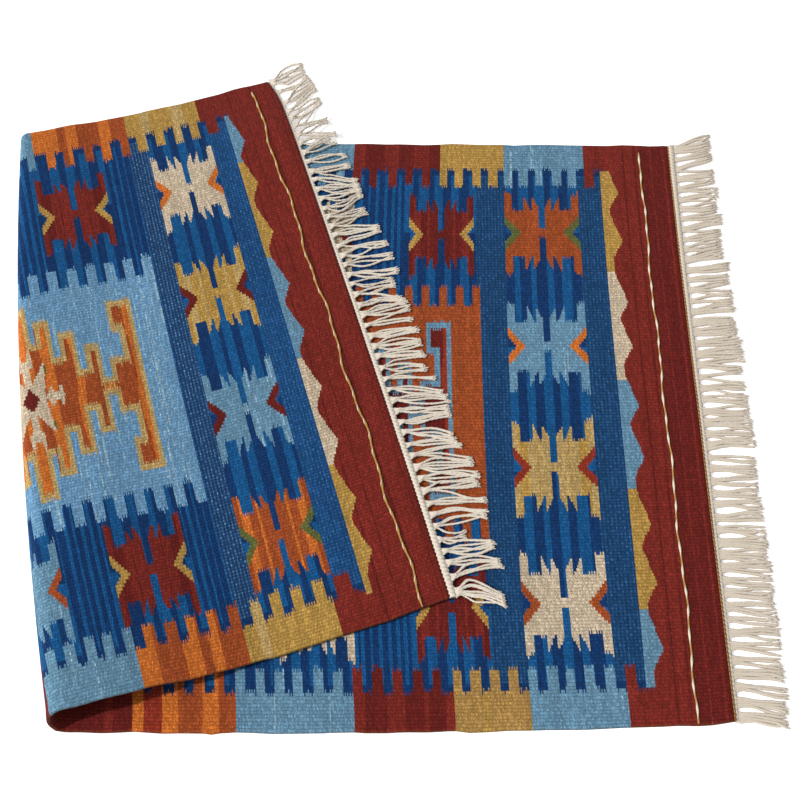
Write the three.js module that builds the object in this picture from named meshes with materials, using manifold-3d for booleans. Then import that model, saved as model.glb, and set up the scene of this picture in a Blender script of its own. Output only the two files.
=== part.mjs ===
// A flat-woven wool rug with a cotton fringe at each end, folded over once and lying on the floor.
// Millimetres, +Z up. The flat rug is measured by two distances on the cloth:
//   along   from the end that lies underneath (0) to the end that lies on top (CLOTH_LENGTH)
//   across  from the far selvedge (0) to the near selvedge (CLOTH_WIDTH)
// foldedPoint() carries a point of the flat rug to its place in the folded one.

import * as THREE from 'three';
import Module from 'manifold-3d';
import { mergeVertices } from 'three/addons/utils/BufferGeometryUtils.js';

const wasm = await Module();
wasm.setup();

// The flat cloth
const CLOTH_LENGTH = 900;
const CLOTH_WIDTH = 600;
const CLOTH_THICKNESS = 3.6;
const LENGTH_BULGE = 23; // the cloth is this much longer in the middle of its width
const NEAR_SIDE_BULGE = 12.5; // the near selvedge bows out by this in the middle of the length
const BULGE_FULLNESS = 0.6; // under 1, so that the bow is fuller than a plain sine
const CORNER_PULL = 9; // the near corner underneath is pulled out lengthwise by this
const CORNER_PULL_LENGTH = 200;
const CORNER_PULL_START = 0.6; // share of the width where the pull begins

// The fold. The top layer is turned by twice FOLD_TURN against the one underneath.
const FOLD_TURN = THREE.MathUtils.degToRad(8.9);
const FOLD_DISTANCE = 629.8; // from the end underneath to the outermost line of the fold
const FOLD_BOW = 10.6; // the fold stands out by this in the middle of the width
const LOOP = {
  far: { height: 5, settle: 78 }, // height is the loop's half height at its middle surface,
  near: { height: 14.9, settle: 181 }, // settle the distance in which the top layer comes down
};
const LAYER_RISE = CLOTH_THICKNESS + 0.9; // top layer's middle surface over the lower one's
// Past the far selvedge of the layer underneath, the top layer comes down to the floor.
const FLOOR_DROP = { fromFold: 40, foldRun: 60, fromSelvedge: 14, selvedgeRun: 45 };

// The fringe at each end: a white heading and cords in groups
const PIECE_GAP = 0.3;
const HEADING_WIDTH = 5;
const HEADING_THICKNESS = 3;
const GROUPS = 47;
const CORDS_IN_GROUP = 3;
const CORD_WIDTH = 1.9;
const CORD_HEIGHT = 1.9;
const CORD_ROOT_DEPTH = 1.2; // how far a cord's root reaches into the heading
const CORD_LENGTH_CHANGE = 2.5; // between one group and the next
const CORD_CURVE = 0.8; // under 1, so that a cord leaves the heading at a slant and then straightens
const TIP_SPACING = 2.6; // between the cords of one group at their tips
const GROUP_LEAN_CHANGE = THREE.MathUtils.degToRad(2);
// Radians from one group to the next in the uneven lean and the uneven length
const SWAY_TURN = 2.4;
const LENGTH_TURN = 1.7;
const TOP_CORD_DROP = 0.6; // the top fringe's cords lie this much lower than its cloth

// At shares of the width: how far the cords lean towards the far side, in degrees, and their length
const CORDS_UNDERNEATH = [
  { across: 0.0, lean: 24, length: 36 },
  { across: 0.06, lean: 16, length: 37 },
  { across: 0.2, lean: 8, length: 38 },
  { across: 0.5, lean: 5, length: 41 },
  { across: 0.85, lean: 1, length: 41 },
  { across: 1.0, lean: -6, length: 38 },
];
const CORDS_ON_TOP = [
  { across: 0.0, lean: 18, length: 37 },
  { across: 0.15, lean: 12, length: 43 },
  { across: 0.35, lean: -5, length: 48 },
  { across: 0.6, lean: -10, length: 46 },
  { across: 0.85, lean: -18, length: 44 },
  { across: 1.0, lean: -27, length: 41 },
];

// Where the cloth is divided into faces
const STEPS = { under: 7, loop: 12, settling: 8, top: 6, across: 18 };
const LAST_STRIP = 40; // at least this much of the top end lies past the settling stretch
const CORD_STEPS = 3;

const WOOL = { color: 0x8a3a2c, roughness: 0.95, metalness: 0 };
const COTTON = { color: 0xe9e1d2, roughness: 0.9, metalness: 0 };

const { clamp, lerp, smoothstep } = THREE.MathUtils;

/** The value of column `name` in a table, at the place `at` in its `key` column. */
function readTable(rows, key, name, at) {
  const next = rows.findIndex((row) => row[key] >= at);
  if (next <= 0) return rows[next === 0 ? 0 : rows.length - 1][name];
  const [a, b] = [rows[next - 1], rows[next]];
  return lerp(a[name], b[name], (at - a[key]) / (b[key] - a[key]));
}

/** The sizes of the fold's loop at a share of the width. */
function loopAt(side) {
  const halfHeight = lerp(LOOP.far.height, LOOP.near.height, side);
  return {
    halfHeight,
    arc: Math.PI * halfHeight,
    start: FOLD_DISTANCE + FOLD_BOW * middleHump(side) - halfHeight,
    settle: lerp(LOOP.far.settle, LOOP.near.settle, side),
  };
}

const TOWARDS_FOLD = new THREE.Vector2(-Math.cos(FOLD_TURN), -Math.sin(FOLD_TURN));

/** The distance across, stretched where the rug is wider. */
function bowedAcross(along, across) {
  const share = clamp(along / CLOTH_LENGTH, 0, 1);
  const bulge = NEAR_SIDE_BULGE * Math.sin(Math.PI * share) ** BULGE_FULLNESS;
  return across + (bulge * across) / CLOTH_WIDTH;
}

/** 1 in the middle of the width, falling to 0 at both selvedges. */
function middleHump(side) {
  return 1 - (2 * side - 1) ** 2;
}

/** How much longer the cloth is than at its selvedges, as a factor. */
function lengthStretch(side) {
  return 1 + (LENGTH_BULGE * middleHump(side)) / CLOTH_LENGTH;
}

/** A point of the cloth's middle surface, folded. */
function foldedPoint(along, across) {
  const wide = bowedAcross(along, across);
  const side = clamp(wide / CLOTH_WIDTH, 0, 1);
  const flat = new THREE.Vector2(-along * lengthStretch(side), -wide);
  const reach = flat.dot(TOWARDS_FOLD);
  const { halfHeight, arc, start, settle } = loopAt(side);
  const past = reach - start;
  let folded = reach;
  let height = CLOTH_THICKNESS / 2;
  if (past > 0 && past < arc) {
    folded = start + halfHeight * Math.sin(past / halfHeight);
    height += halfHeight * (1 - Math.cos(past / halfHeight));
  }
  const settled = Math.max(past - arc, 0);
  if (past >= arc) {
    folded = start - settled;
    height += lerp(2 * halfHeight, LAYER_RISE, smoothstep(settled, 0, settle));
  }
  const place = flat.addScaledVector(TOWARDS_FOLD, folded - reach);
  if (past >= arc) {
    const loose = smoothstep(settled, FLOOR_DROP.fromFold, FLOOR_DROP.fromFold + FLOOR_DROP.foldRun);
    const overhang = (place.y - FLOOR_DROP.fromSelvedge) / FLOOR_DROP.selvedgeRun;
    height -= LAYER_RISE * loose * clamp(overhang, 0, 1);
  }
  const pulled = clamp((side - CORNER_PULL_START) / (1 - CORNER_PULL_START), 0, 1) ** 2;
  const pull = CORNER_PULL * pulled * clamp(1 - along / CORNER_PULL_LENGTH, 0, 1);
  return new THREE.Vector3(place.x + pull, place.y, height);
}

/** The cloth's normal there: up on the layer underneath, down on the top one. */
function foldedNormal(along, across) {
  const step = 0.5;
  const run = foldedPoint(along + step, across).sub(foldedPoint(along - step, across));
  const rise = foldedPoint(along, across + step).sub(foldedPoint(along, across - step));
  return run.cross(rise).normalize();
}

/** Distances along the cloth where one line of faces across the width ends and the next begins. */
function sectionsAt(across) {
  const wide = bowedAcross(FOLD_DISTANCE, across);
  const side = clamp(wide / CLOTH_WIDTH, 0, 1);
  const { arc, start, settle } = loopAt(side);
  const perReach = 1 / (Math.cos(FOLD_TURN) * lengthStretch(side));
  const loopStart = (start - wide * Math.sin(FOLD_TURN)) * perReach;
  const loopEnd = loopStart + arc * perReach;
  const settleEnd = Math.min(loopEnd + settle, CLOTH_LENGTH - LAST_STRIP);
  const stretch = (from, to, steps) =>
    Array.from({ length: steps }, (_, i) => lerp(from, to, i / steps));
  return [
    ...stretch(0, loopStart, STEPS.under),
    ...stretch(loopStart, loopEnd, STEPS.loop),
    ...stretch(loopEnd, settleEnd, STEPS.settling),
    ...stretch(settleEnd, CLOTH_LENGTH, STEPS.top),
    CLOTH_LENGTH,
  ];
}

/** A closed sheet from a grid of places: grid[i][j] = { upper, lower } as points. */
function closedSheet(grid) {
  const rows = grid.length;
  const columns = grid[0].length;
  const corners = [];
  grid.forEach((row) => row.forEach((cell) => corners.push(...cell.upper, ...cell.lower)));
  const index = (i, j, face) => 2 * (i * columns + j) + face;
  const faces = [];
  const quad = (a, b, c, d) => faces.push(a, c, b, a, d, c);
  for (let i = 0; i + 1 < rows; i += 1) {
    for (let j = 0; j + 1 < columns; j += 1) {
      quad(index(i, j, 0), index(i + 1, j, 0), index(i + 1, j + 1, 0), index(i, j + 1, 0));
      quad(index(i, j, 1), index(i, j + 1, 1), index(i + 1, j + 1, 1), index(i + 1, j, 1));
    }
    quad(index(i, 0, 0), index(i, 0, 1), index(i + 1, 0, 1), index(i + 1, 0, 0));
    const last = columns - 1;
    quad(index(i, last, 0), index(i + 1, last, 0), index(i + 1, last, 1), index(i, last, 1));
  }
  for (let j = 0; j + 1 < columns; j += 1) {
    quad(index(0, j, 0), index(0, j + 1, 0), index(0, j + 1, 1), index(0, j, 1));
    const last = rows - 1;
    quad(index(last, j, 0), index(last, j, 1), index(last, j + 1, 1), index(last, j + 1, 0));
  }
  const geometry = new THREE.BufferGeometry();
  geometry.setAttribute('position', new THREE.Float32BufferAttribute(corners, 3));
  geometry.setIndex(faces);
  return geometry;
}

/** The woven cloth: one sheet in two layers joined by the fold. */
function clothGeometry() {
  const grid = [];
  for (let j = 0; j <= STEPS.across; j += 1) {
    const across = (CLOTH_WIDTH * j) / STEPS.across;
    grid.push(
      sectionsAt(across).map((along) => {
        const middle = foldedPoint(along, across);
        const half = foldedNormal(along, across).multiplyScalar(CLOTH_THICKNESS / 2);
        return { upper: middle.clone().add(half), lower: middle.clone().sub(half) };
      }),
    );
  }
  return closedSheet(grid);
}

/** The lowest point that the fringe may lie on: the floor, or the layer underneath. */
function restingPoint(along, across, drop) {
  const middle = foldedPoint(along, across);
  const bottom = middle.z - CLOTH_THICKNESS / 2;
  return new THREE.Vector3(middle.x, middle.y, Math.max(bottom - drop, 0));
}

/** The ends of the rug: `outwards` gives the distance along for a distance past the end. */
const ENDS = {
  underneath: { outwards: (past) => -past, cords: CORDS_UNDERNEATH, drop: 0, phase: 0.4 },
  onTop: { outwards: (past) => CLOTH_LENGTH + past, cords: CORDS_ON_TOP, drop: TOP_CORD_DROP, phase: 2.1 },
};

/** The white heading that runs beside the cloth's end. */
function headingGeometry(end) {
  const grid = [];
  for (let j = 0; j <= 2 * STEPS.across; j += 1) {
    const across = (CLOTH_WIDTH * j) / (2 * STEPS.across);
    const edges = [PIECE_GAP + HEADING_WIDTH, PIECE_GAP];
    const row = edges.map((past) => {
      const lower = restingPoint(end.outwards(past), across, 0);
      const upper = lower.clone().setZ(lower.z + HEADING_THICKNESS);
      return { upper, lower };
    });
    grid.push(row);
  }
  return closedSheet(grid);
}

/** One cord: a three-sided bar with a flat underside, from its root to its tip. */
function cordGeometry(end, rootAcross, tipAcross, length) {
  const rootPast = PIECE_GAP + HEADING_WIDTH - CORD_ROOT_DEPTH;
  const corners = [];
  const faces = [];
  for (let i = 0; i <= CORD_STEPS; i += 1) {
    const share = i / CORD_STEPS;
    const past = lerp(rootPast, PIECE_GAP + HEADING_WIDTH + length, share);
    const across = lerp(rootAcross, tipAcross, share ** CORD_CURVE);
    const along = end.outwards(past);
    const drop = end.drop * Math.min(2 * share, 1);
    const base = restingPoint(along, across, drop);
    const sideways = foldedPoint(along, across + 1).sub(foldedPoint(along, across - 1));
    sideways.setZ(0).setLength(CORD_WIDTH / 2);
    const ridge = base.clone().setZ(base.z + CORD_HEIGHT);
    corners.push(...base.clone().sub(sideways), ...base.clone().add(sideways), ...ridge);
  }
  const turn = [0, 2, 1];
  for (let i = 0; i < CORD_STEPS; i += 1) {
    for (let k = 0; k < 3; k += 1) {
      const [a, b] = [turn[k] + 3 * i, turn[(k + 1) % 3] + 3 * i];
      faces.push(a, b, b + 3, a, b + 3, a + 3);
    }
  }
  const [p, q, r] = turn;
  const last = 3 * CORD_STEPS;
  faces.push(p, r, q, p + last, q + last, r + last);
  const geometry = new THREE.BufferGeometry();
  geometry.setAttribute('position', new THREE.Float32BufferAttribute(corners, 3));
  geometry.setIndex(faces);
  return geometry;
}

/** All the cords of one end, in groups that draw together towards their tips. */
function cordGeometries(end) {
  const cords = [];
  const groupWidth = CLOTH_WIDTH / GROUPS;
  const cordSpacing = groupWidth / CORDS_IN_GROUP;
  for (let g = 0; g < GROUPS; g += 1) {
    const middle = groupWidth * (g + 0.5);
    const share = middle / CLOTH_WIDTH;
    const sway = Math.sin(SWAY_TURN * g + end.phase);
    const lean =
      THREE.MathUtils.degToRad(readTable(end.cords, 'across', 'lean', share)) +
      GROUP_LEAN_CHANGE * sway;
    const length =
      readTable(end.cords, 'across', 'length', share) +
      CORD_LENGTH_CHANGE * Math.sin(LENGTH_TURN * g + end.phase);
    for (let c = 0; c < CORDS_IN_GROUP; c += 1) {
      const place = c - (CORDS_IN_GROUP - 1) / 2;
      const tip = middle + place * TIP_SPACING - length * Math.sin(lean);
      cords.push(cordGeometry(end, middle + place * cordSpacing, tip, length * Math.cos(lean)));
    }
  }
  return cords;
}

function toManifold(geometry) {
  const merged = mergeVertices(geometry, 1e-4);
  return new wasm.Manifold(
    new wasm.Mesh({
      numProp: 3,
      vertProperties: new Float32Array(merged.attributes.position.array),
      triVerts: new Uint32Array(merged.index.array),
    }),
  );
}

/** The heading and its cords, joined into one body. */
function fringeGeometry(end) {
  let fringe = toManifold(headingGeometry(end));
  for (const cord of cordGeometries(end)) fringe = fringe.add(toManifold(cord));
  const mesh = fringe.getMesh();
  const geometry = new THREE.BufferGeometry();
  geometry.setAttribute('position', new THREE.BufferAttribute(mesh.vertProperties, 3));
  geometry.setIndex(new THREE.BufferAttribute(mesh.triVerts, 1));
  return geometry;
}

function piece(name, geometry, finish) {
  const mesh = new THREE.Mesh(geometry, new THREE.MeshStandardMaterial(finish));
  mesh.name = name;
  return mesh;
}

const folded = new THREE.Group();
folded.add(piece('rug_cloth', clothGeometry(), WOOL));
folded.add(piece('fringe_underneath', fringeGeometry(ENDS.underneath), COTTON));
folded.add(piece('fringe_on_top', fringeGeometry(ENDS.onTop), COTTON));

// The origin is under the middle of the whole rug, on the floor.
const box = new THREE.Box3().setFromObject(folded);
const middle = box.getCenter(new THREE.Vector3());
folded.position.set(-middle.x, -middle.y, -box.min.z);

const rug = new THREE.Group();
rug.add(folded);

export default rug;
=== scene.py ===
"""A small wool kilim with a cotton fringe at each end, folded over once on a pale floor.

Lengths on the rug are in millimetres on the flat cloth: `along` runs from the end that lies
underneath (0) to the end that lies on top (900), and `across` from the far selvedge (0) to the
near one (600). FoldedForm carries a place on the flat rug to its place in the folded one, in metres.
"""

from __future__ import annotations

import logging
import math
from dataclasses import dataclass, field, replace
from enum import Enum, IntEnum

import bmesh
import bpy
import numpy as np
from mathutils import Matrix, Vector

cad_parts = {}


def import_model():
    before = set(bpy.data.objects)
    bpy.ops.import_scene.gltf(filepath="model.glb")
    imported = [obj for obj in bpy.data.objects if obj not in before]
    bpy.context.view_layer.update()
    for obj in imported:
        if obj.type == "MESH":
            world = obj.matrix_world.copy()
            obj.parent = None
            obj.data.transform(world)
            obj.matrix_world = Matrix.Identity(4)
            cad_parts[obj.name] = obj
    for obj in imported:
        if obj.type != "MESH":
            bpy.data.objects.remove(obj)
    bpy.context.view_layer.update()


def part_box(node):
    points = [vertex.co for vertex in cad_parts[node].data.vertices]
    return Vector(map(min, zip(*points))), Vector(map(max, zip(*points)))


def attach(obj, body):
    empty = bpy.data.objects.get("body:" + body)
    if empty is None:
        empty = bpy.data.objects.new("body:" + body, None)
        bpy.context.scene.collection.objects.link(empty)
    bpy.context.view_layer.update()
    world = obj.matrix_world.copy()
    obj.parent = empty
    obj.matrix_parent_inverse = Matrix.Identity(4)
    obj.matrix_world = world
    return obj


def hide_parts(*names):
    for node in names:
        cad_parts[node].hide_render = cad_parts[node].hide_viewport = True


log = logging.getLogger("kilim")

MM = 0.001
BODY = "root"
RUG_LENGTH = 900.0
RUG_WIDTH = 600.0
RIB = 3.0

Colour = tuple[float, float, float]
Point = tuple[float, float, float]
Span = tuple[float, float]
Socket = bpy.types.NodeSocket


def linear(red: float, green: float, blue: float) -> Colour:
    """Turns a colour as a screen shows it, each part from 0 to 255, into a linear one from 0 to 1."""
    parts = (value / 255.0 for value in (red, green, blue))
    return tuple(p / 12.92 if p <= 0.04045 else ((p + 0.055) / 1.055) ** 2.4 for p in parts)


def ramp(value: np.ndarray, low: float, high: float) -> np.ndarray:
    """Rises smoothly from 0 at the low value to 1 at the high one."""
    share = np.clip((value - low) / (high - low), 0.0, 1.0)
    return share * share * (3.0 - 2.0 * share)


def fade(distance: np.ndarray | float, reach: float) -> np.ndarray:
    """Falls from 1 at no distance to 0 at the given reach, ever more gently."""
    return np.clip(1.0 - distance / reach, 0.0, 1.0) ** 2


def hump(share: np.ndarray) -> np.ndarray:
    """Rises from 0 at a share of 0 to 1 halfway, and falls back to 0 at a share of 1."""
    return 1.0 - (2.0 * share - 1.0) ** 2


def waves(base: np.ndarray | float, place: np.ndarray, terms: tuple[Span, ...]) -> np.ndarray:
    """Adds sine waves to a value, each given by its height and its length."""
    return sum((height * np.sin(place / length) for height, length in terms), base)


def added(name: str, data: bpy.types.ID) -> bpy.types.Object:
    """Makes an object and puts it in the scene.

    Args:
        name: The object's name.
        data: Its mesh, curve, light or camera.

    Returns:
        The object.
    """
    made = bpy.data.objects.new(name, data)
    bpy.context.scene.collection.objects.link(made)
    return made


def mesh_data(name: str, mesh: bmesh.types.BMesh) -> bpy.types.Mesh:
    """Turns a finished mesh in the making into mesh data, and frees it.

    Args:
        name: The data's name.
        mesh: The mesh in the making.

    Returns:
        The mesh data.
    """
    data = bpy.data.meshes.new(name)
    mesh.to_mesh(data)
    mesh.free()
    return data


class Wool(Enum):
    """The dyed wools: each has its number, its colour on a screen, and how light flecks show on it."""

    MAROON = (0, (88, 25, 21))
    RED = (1, (104, 33, 26))
    BRICK = (2, (122, 42, 27))
    RUST = (3, (135, 63, 30))
    ORANGE = (4, (172, 92, 36))
    OCHRE = (5, (153, 120, 60))
    PALE_OCHRE = (6, (158, 132, 84))
    CREAM = (7, (170, 154, 132))
    SKY = (8, (86, 120, 142))
    PALE_SKY = (9, (124, 152, 168))
    MID_BLUE = (10, (16, 70, 116))
    NAVY = (11, (12, 44, 86))
    QUIET_FLECKS = (12, (16, 54, 92), 0.21)
    BRIGHT_FLECKS = (13, (18, 52, 90), 0.64)
    GREEN = (14, (80, 84, 44))
    BRIGHT_SKY = (15, (91, 129, 159))
    DEEP_OCHRE = (16, (144, 112, 62))
    SOFT_FLECKS = (17, (17, 60, 104), 0.24)

    def __init__(self, number: int, shown: Colour, flecks: float = 0.0) -> None:
        """Works out the yarn's dye.

        Args:
            number: Its number on the chart.
            shown: Its colour as a screen shows it, each part from 0 to 255.
            flecks: How strongly light flecks show on it, from 0 to 1.
        """
        self.number = number
        self.dye = linear(*shown)
        self.flecks = flecks


class Seed(IntEnum):
    """The first seed of the random draws for each part of the design."""

    PALE_PICKS = 61
    ENDS = 77
    MOTIFS = 100
    SIDE_BLOCKS = 300
    FINE_STRIPES = 490
    BANDS = 500
    PANELS = 1000


@dataclass(frozen=True)
class FoldedForm:
    """The shape in which the rug lies: one layer on the floor, the fold, and the layer on top."""

    length: float = RUG_LENGTH
    width: float = RUG_WIDTH
    thickness: float = 3.6
    length_bulge: float = 23.0
    near_side_bulge: float = 12.5
    bulge_fullness: float = 0.6
    corner_pull: float = 9.0
    corner_pull_length: float = 200.0
    corner_pull_start: float = 0.6
    fold_turn: float = math.radians(8.9)
    fold_distance: float = 629.8
    fold_bow: float = 10.6
    loop_half_height: Span = (5.0, 14.9)
    settle_length: Span = (78.0, 181.0)
    layer_gap: float = 0.9
    drop_from_fold: Span = (40.0, 100.0)
    drop_from_selvedge: Span = (14.0, 45.0)
    corner_draw: float = 6.0
    corner_draw_width: float = 36.0
    corner_draw_length: float = 60.0
    corner_spread: float = 4.0
    corner_spread_width: float = 150.0
    corner_spread_length: float = 130.0
    end_bow: float = 5.3
    end_bow_lean: float = 1.9
    end_bow_length: Span = (55.0, 105.0)
    shift: Point = (0.0, 0.0, 0.0)
    samples: tuple[int, int] = (451, 121)

    def loop(self, side: np.ndarray) -> tuple[np.ndarray, np.ndarray, np.ndarray]:
        """Gives the sizes of the fold's loop.

        Args:
            side: Share of the width, 0 at the far selvedge.

        Returns:
            The loop's half height, its start as a distance from the end, and the settling length.
        """
        ranges = (self.loop_half_height, self.settle_length)
        half, settle = (low + side * (high - low) for low, high in ranges)
        return half, self.fold_distance + self.fold_bow * hump(side) - half, settle

    def flat(self, along: np.ndarray, across: np.ndarray) -> tuple[np.ndarray, np.ndarray, np.ndarray]:
        """Gives a place before the fold, with the rug's bowed outline.

        Args:
            along: Distances along the cloth.
            across: Distances across it.

        Returns:
            The flat x and y, and the share of the width.
        """
        share = np.clip(along / self.length, 0.0, 1.0)
        bulge = self.near_side_bulge * np.sin(np.pi * share) ** self.bulge_fullness
        wide = across + bulge * across / self.width
        side = np.clip(wide / self.width, 0.0, 1.0)
        stretch = 1.0 + self.length_bulge * hump(side) / self.length
        return -along * stretch, -wide, side

    def middle(self, along: np.ndarray, across: np.ndarray) -> np.ndarray:
        """Gives points of the cloth's middle surface.

        Args:
            along: Distances along the cloth.
            across: Distances across it.

        Returns:
            One row of x, y and z for each place, in millimetres, not yet shifted.
        """
        along, across = np.broadcast_arrays(np.asarray(along, float), np.asarray(across, float))
        drawn = self.corner_draw * fade(across, self.corner_draw_width)
        spread = self.corner_spread * fade(across, self.corner_spread_width)
        across = across - spread * ramp(along, self.length - self.corner_spread_length, self.length)
        along = along - drawn * ramp(along, self.length - self.corner_draw_length, self.length)
        x, y, side = self.flat(along, across)
        x, y, height = self.folded(x, y, side)
        pulled = np.clip((side - self.corner_pull_start) / (1.0 - self.corner_pull_start), 0.0, 1.0) ** 2
        x = x + self.corner_pull * pulled * np.clip(1.0 - along / self.corner_pull_length, 0.0, 1.0)
        bowed = np.sin(np.pi * side**self.end_bow_lean) * (1.0 - ramp(along, *self.end_bow_length))
        x = x + self.end_bow * bowed
        return np.stack([x, y, height + self.thickness / 2.0], axis=-1)

    def folded(
        self, x: np.ndarray, y: np.ndarray, side: np.ndarray
    ) -> tuple[np.ndarray, np.ndarray, np.ndarray]:
        """Folds places of the flat rug over, round the loop and onto the layer underneath.

        Args:
            x: The flat x.
            y: The flat y.
            side: The share of the width.

        Returns:
            The folded x and y, and the height, which hangs down beyond the far selvedge.
        """
        turn = (-math.cos(self.fold_turn), -math.sin(self.fold_turn))
        reach = x * turn[0] + y * turn[1]
        half, start, settle = self.loop(side)
        arc = np.pi * half
        past = reach - start
        angle = np.clip(past, 0.0, arc) / half
        settled = np.maximum(past - arc, 0.0)
        on_top = past >= arc
        new_reach = np.where(past <= 0.0, reach, start + half * np.sin(angle))
        new_reach = np.where(on_top, start - settled, new_reach)
        rise = self.thickness + self.layer_gap
        top = 2.0 * half + (rise - 2.0 * half) * ramp(settled / settle, 0.0, 1.0)
        height = np.where(on_top, top, half * (1.0 - np.cos(angle)))
        x = x + turn[0] * (new_reach - reach)
        y = y + turn[1] * (new_reach - reach)
        loose = ramp(settled, *self.drop_from_fold)
        beyond = np.clip((y - self.drop_from_selvedge[0]) / self.drop_from_selvedge[1], 0.0, 1.0)
        return x, y, height - np.where(on_top, rise * loose * beyond, 0.0)

    def normal(self, along: np.ndarray, across: np.ndarray) -> np.ndarray:
        """Gives the cloth's normal, up on the layer underneath and down on the top one.

        Args:
            along: Distances along the cloth.
            across: Distances across it.

        Returns:
            One unit vector for each place.
        """
        step = 0.5
        run = self.middle(along + step, across) - self.middle(along - step, across)
        rise = self.middle(along, across + step) - self.middle(along, across - step)
        normal = np.cross(run, rise)
        return normal / np.linalg.norm(normal, axis=-1, keepdims=True)

    def place(self, along: np.ndarray, across: np.ndarray, lift: np.ndarray | float = 0.0) -> np.ndarray:
        """Gives places in the folded rug.

        Args:
            along: Distances along the cloth.
            across: Distances across it.
            lift: How far above the middle surface, along the cloth's normal.

        Returns:
            One row of x, y and z for each place, in metres.
        """
        along, across = np.broadcast_arrays(np.asarray(along, float), np.asarray(across, float))
        points = self.middle(along, across)
        points = points + self.normal(along, across) * np.broadcast_to(lift, along.shape)[..., None]
        return points * MM + np.array(self.shift)

    def seated_in(self, low: Vector, high: Vector) -> FoldedForm:
        """Moves the form so that its cloth fills the given box.

        Args:
            low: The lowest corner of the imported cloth.
            high: Its highest corner.

        Returns:
            The same form with its shift set.
        """
        sizes = zip((self.length, self.width), self.samples)
        along, across = np.meshgrid(*(np.linspace(0.0, size, count) for size, count in sizes))
        half = self.thickness / 2.0
        cloud = np.concatenate([self.place(along, across, lift).reshape(-1, 3) for lift in (-half, half)])
        shift = ((np.array(low) - cloud.min(axis=0)) + (np.array(high) - cloud.max(axis=0))) / 2.0
        shift[2] = 0.0
        return replace(self, shift=tuple(shift))


@dataclass
class Chart:
    """The weaver's chart: one row for each rib of the cloth, one column for each pick of the weft."""

    length: float = RUG_LENGTH
    width: float = RUG_WIDTH
    rib: float = RIB
    pick: float = 1.0
    # Reach of a pick past an edge where two yarns meet: the factor on its luck, and what is added
    long_prong: Span = (1.2, -0.2)
    short_prong: Span = (-1.1, 0.1)
    ribs: int = field(init=False)
    picks: int = field(init=False)
    yarns: np.ndarray = field(init=False)
    along: np.ndarray = field(init=False)
    across: np.ndarray = field(init=False)

    def __post_init__(self) -> None:
        """Lays out the empty chart."""
        self.ribs = round(self.width / self.rib)
        self.picks = round(self.length / self.pick)
        self.yarns = np.full((self.ribs, self.picks), Wool.NAVY.number, np.int16)
        self.along = ((np.arange(self.picks) + 0.5) * self.pick)[None, :]
        self.across = ((np.arange(self.ribs) + 0.5) * self.rib)[:, None]

    def prongs(self, amount: float, seed: int) -> np.ndarray:
        """Gives each pick its own reach past an edge, as where two yarns meet and turn back.

        Args:
            amount: The longest reach.
            seed: Makes one edge differ from the next.

        Returns:
            One reach for each pick, every second one drawn back.
        """
        luck = np.random.default_rng(seed).random(self.picks)
        long, short = (factor * luck + base for factor, base in (self.long_prong, self.short_prong))
        return (amount * np.where(np.arange(self.picks) % 2 == 0, long, short))[None, :]

    def paint(self, where: np.ndarray, yarn: Wool | np.ndarray) -> None:
        """Weaves one yarn, or the yarns' numbers for each pick, wherever a mask over the chart is true."""
        value = yarn.number if isinstance(yarn, Wool) else np.broadcast_to(yarn, self.yarns.shape)
        self.yarns = np.where(where, value, self.yarns)

    def block(
        self,
        along: Span,
        across: tuple[float | np.ndarray, float | np.ndarray],
        yarn: Wool | np.ndarray,
        prongs: Span = (0.0, 0.0),
        seed: int = 0,
    ) -> None:
        """Weaves an upright block whose two ends may be pronged.

        Args:
            along: Where it starts and ends along the cloth.
            across: Where it starts and ends across it, the same for every pick or one for each.
            yarn: One yarn, or the yarns' numbers for each pick.
            prongs: How far the prongs reach past its far end and past its near end.
            seed: Makes one block's prongs differ from the next.
        """
        inside = (self.along >= along[0]) & (self.along < along[1])
        inside = inside & (self.across > across[0] - self.prongs(prongs[0], 2 * seed))
        inside = inside & (self.across < across[1] + self.prongs(prongs[1], 2 * seed + 1))
        self.paint(inside, yarn)


@dataclass(frozen=True)
class Stripes:
    """Stripes of yarns that take turns, and the places along the cloth where the stripes end."""

    yarns: tuple[Wool, ...]
    ends: tuple[float, ...]

    def numbers(self, along: np.ndarray) -> np.ndarray:
        """Gives the yarns' numbers for picks at the given places along the cloth."""
        turn = np.searchsorted(self.ends, along).clip(max=len(self.ends) - 1) % len(self.yarns)
        return np.array([yarn.number for yarn in self.yarns])[turn]


@dataclass(frozen=True)
class BorderBlock:
    """One block of the side borders, at both selvedges, with its comb of teeth."""

    start: float
    teeth: int
    far: Stripes
    near: Stripes | None = None
    tooth: float = 8.0
    comb: Span | None = None

    @property
    def span(self) -> Span:
        """Gives where the block starts and ends along the cloth."""
        return self.start, self.far.ends[-1]


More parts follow.
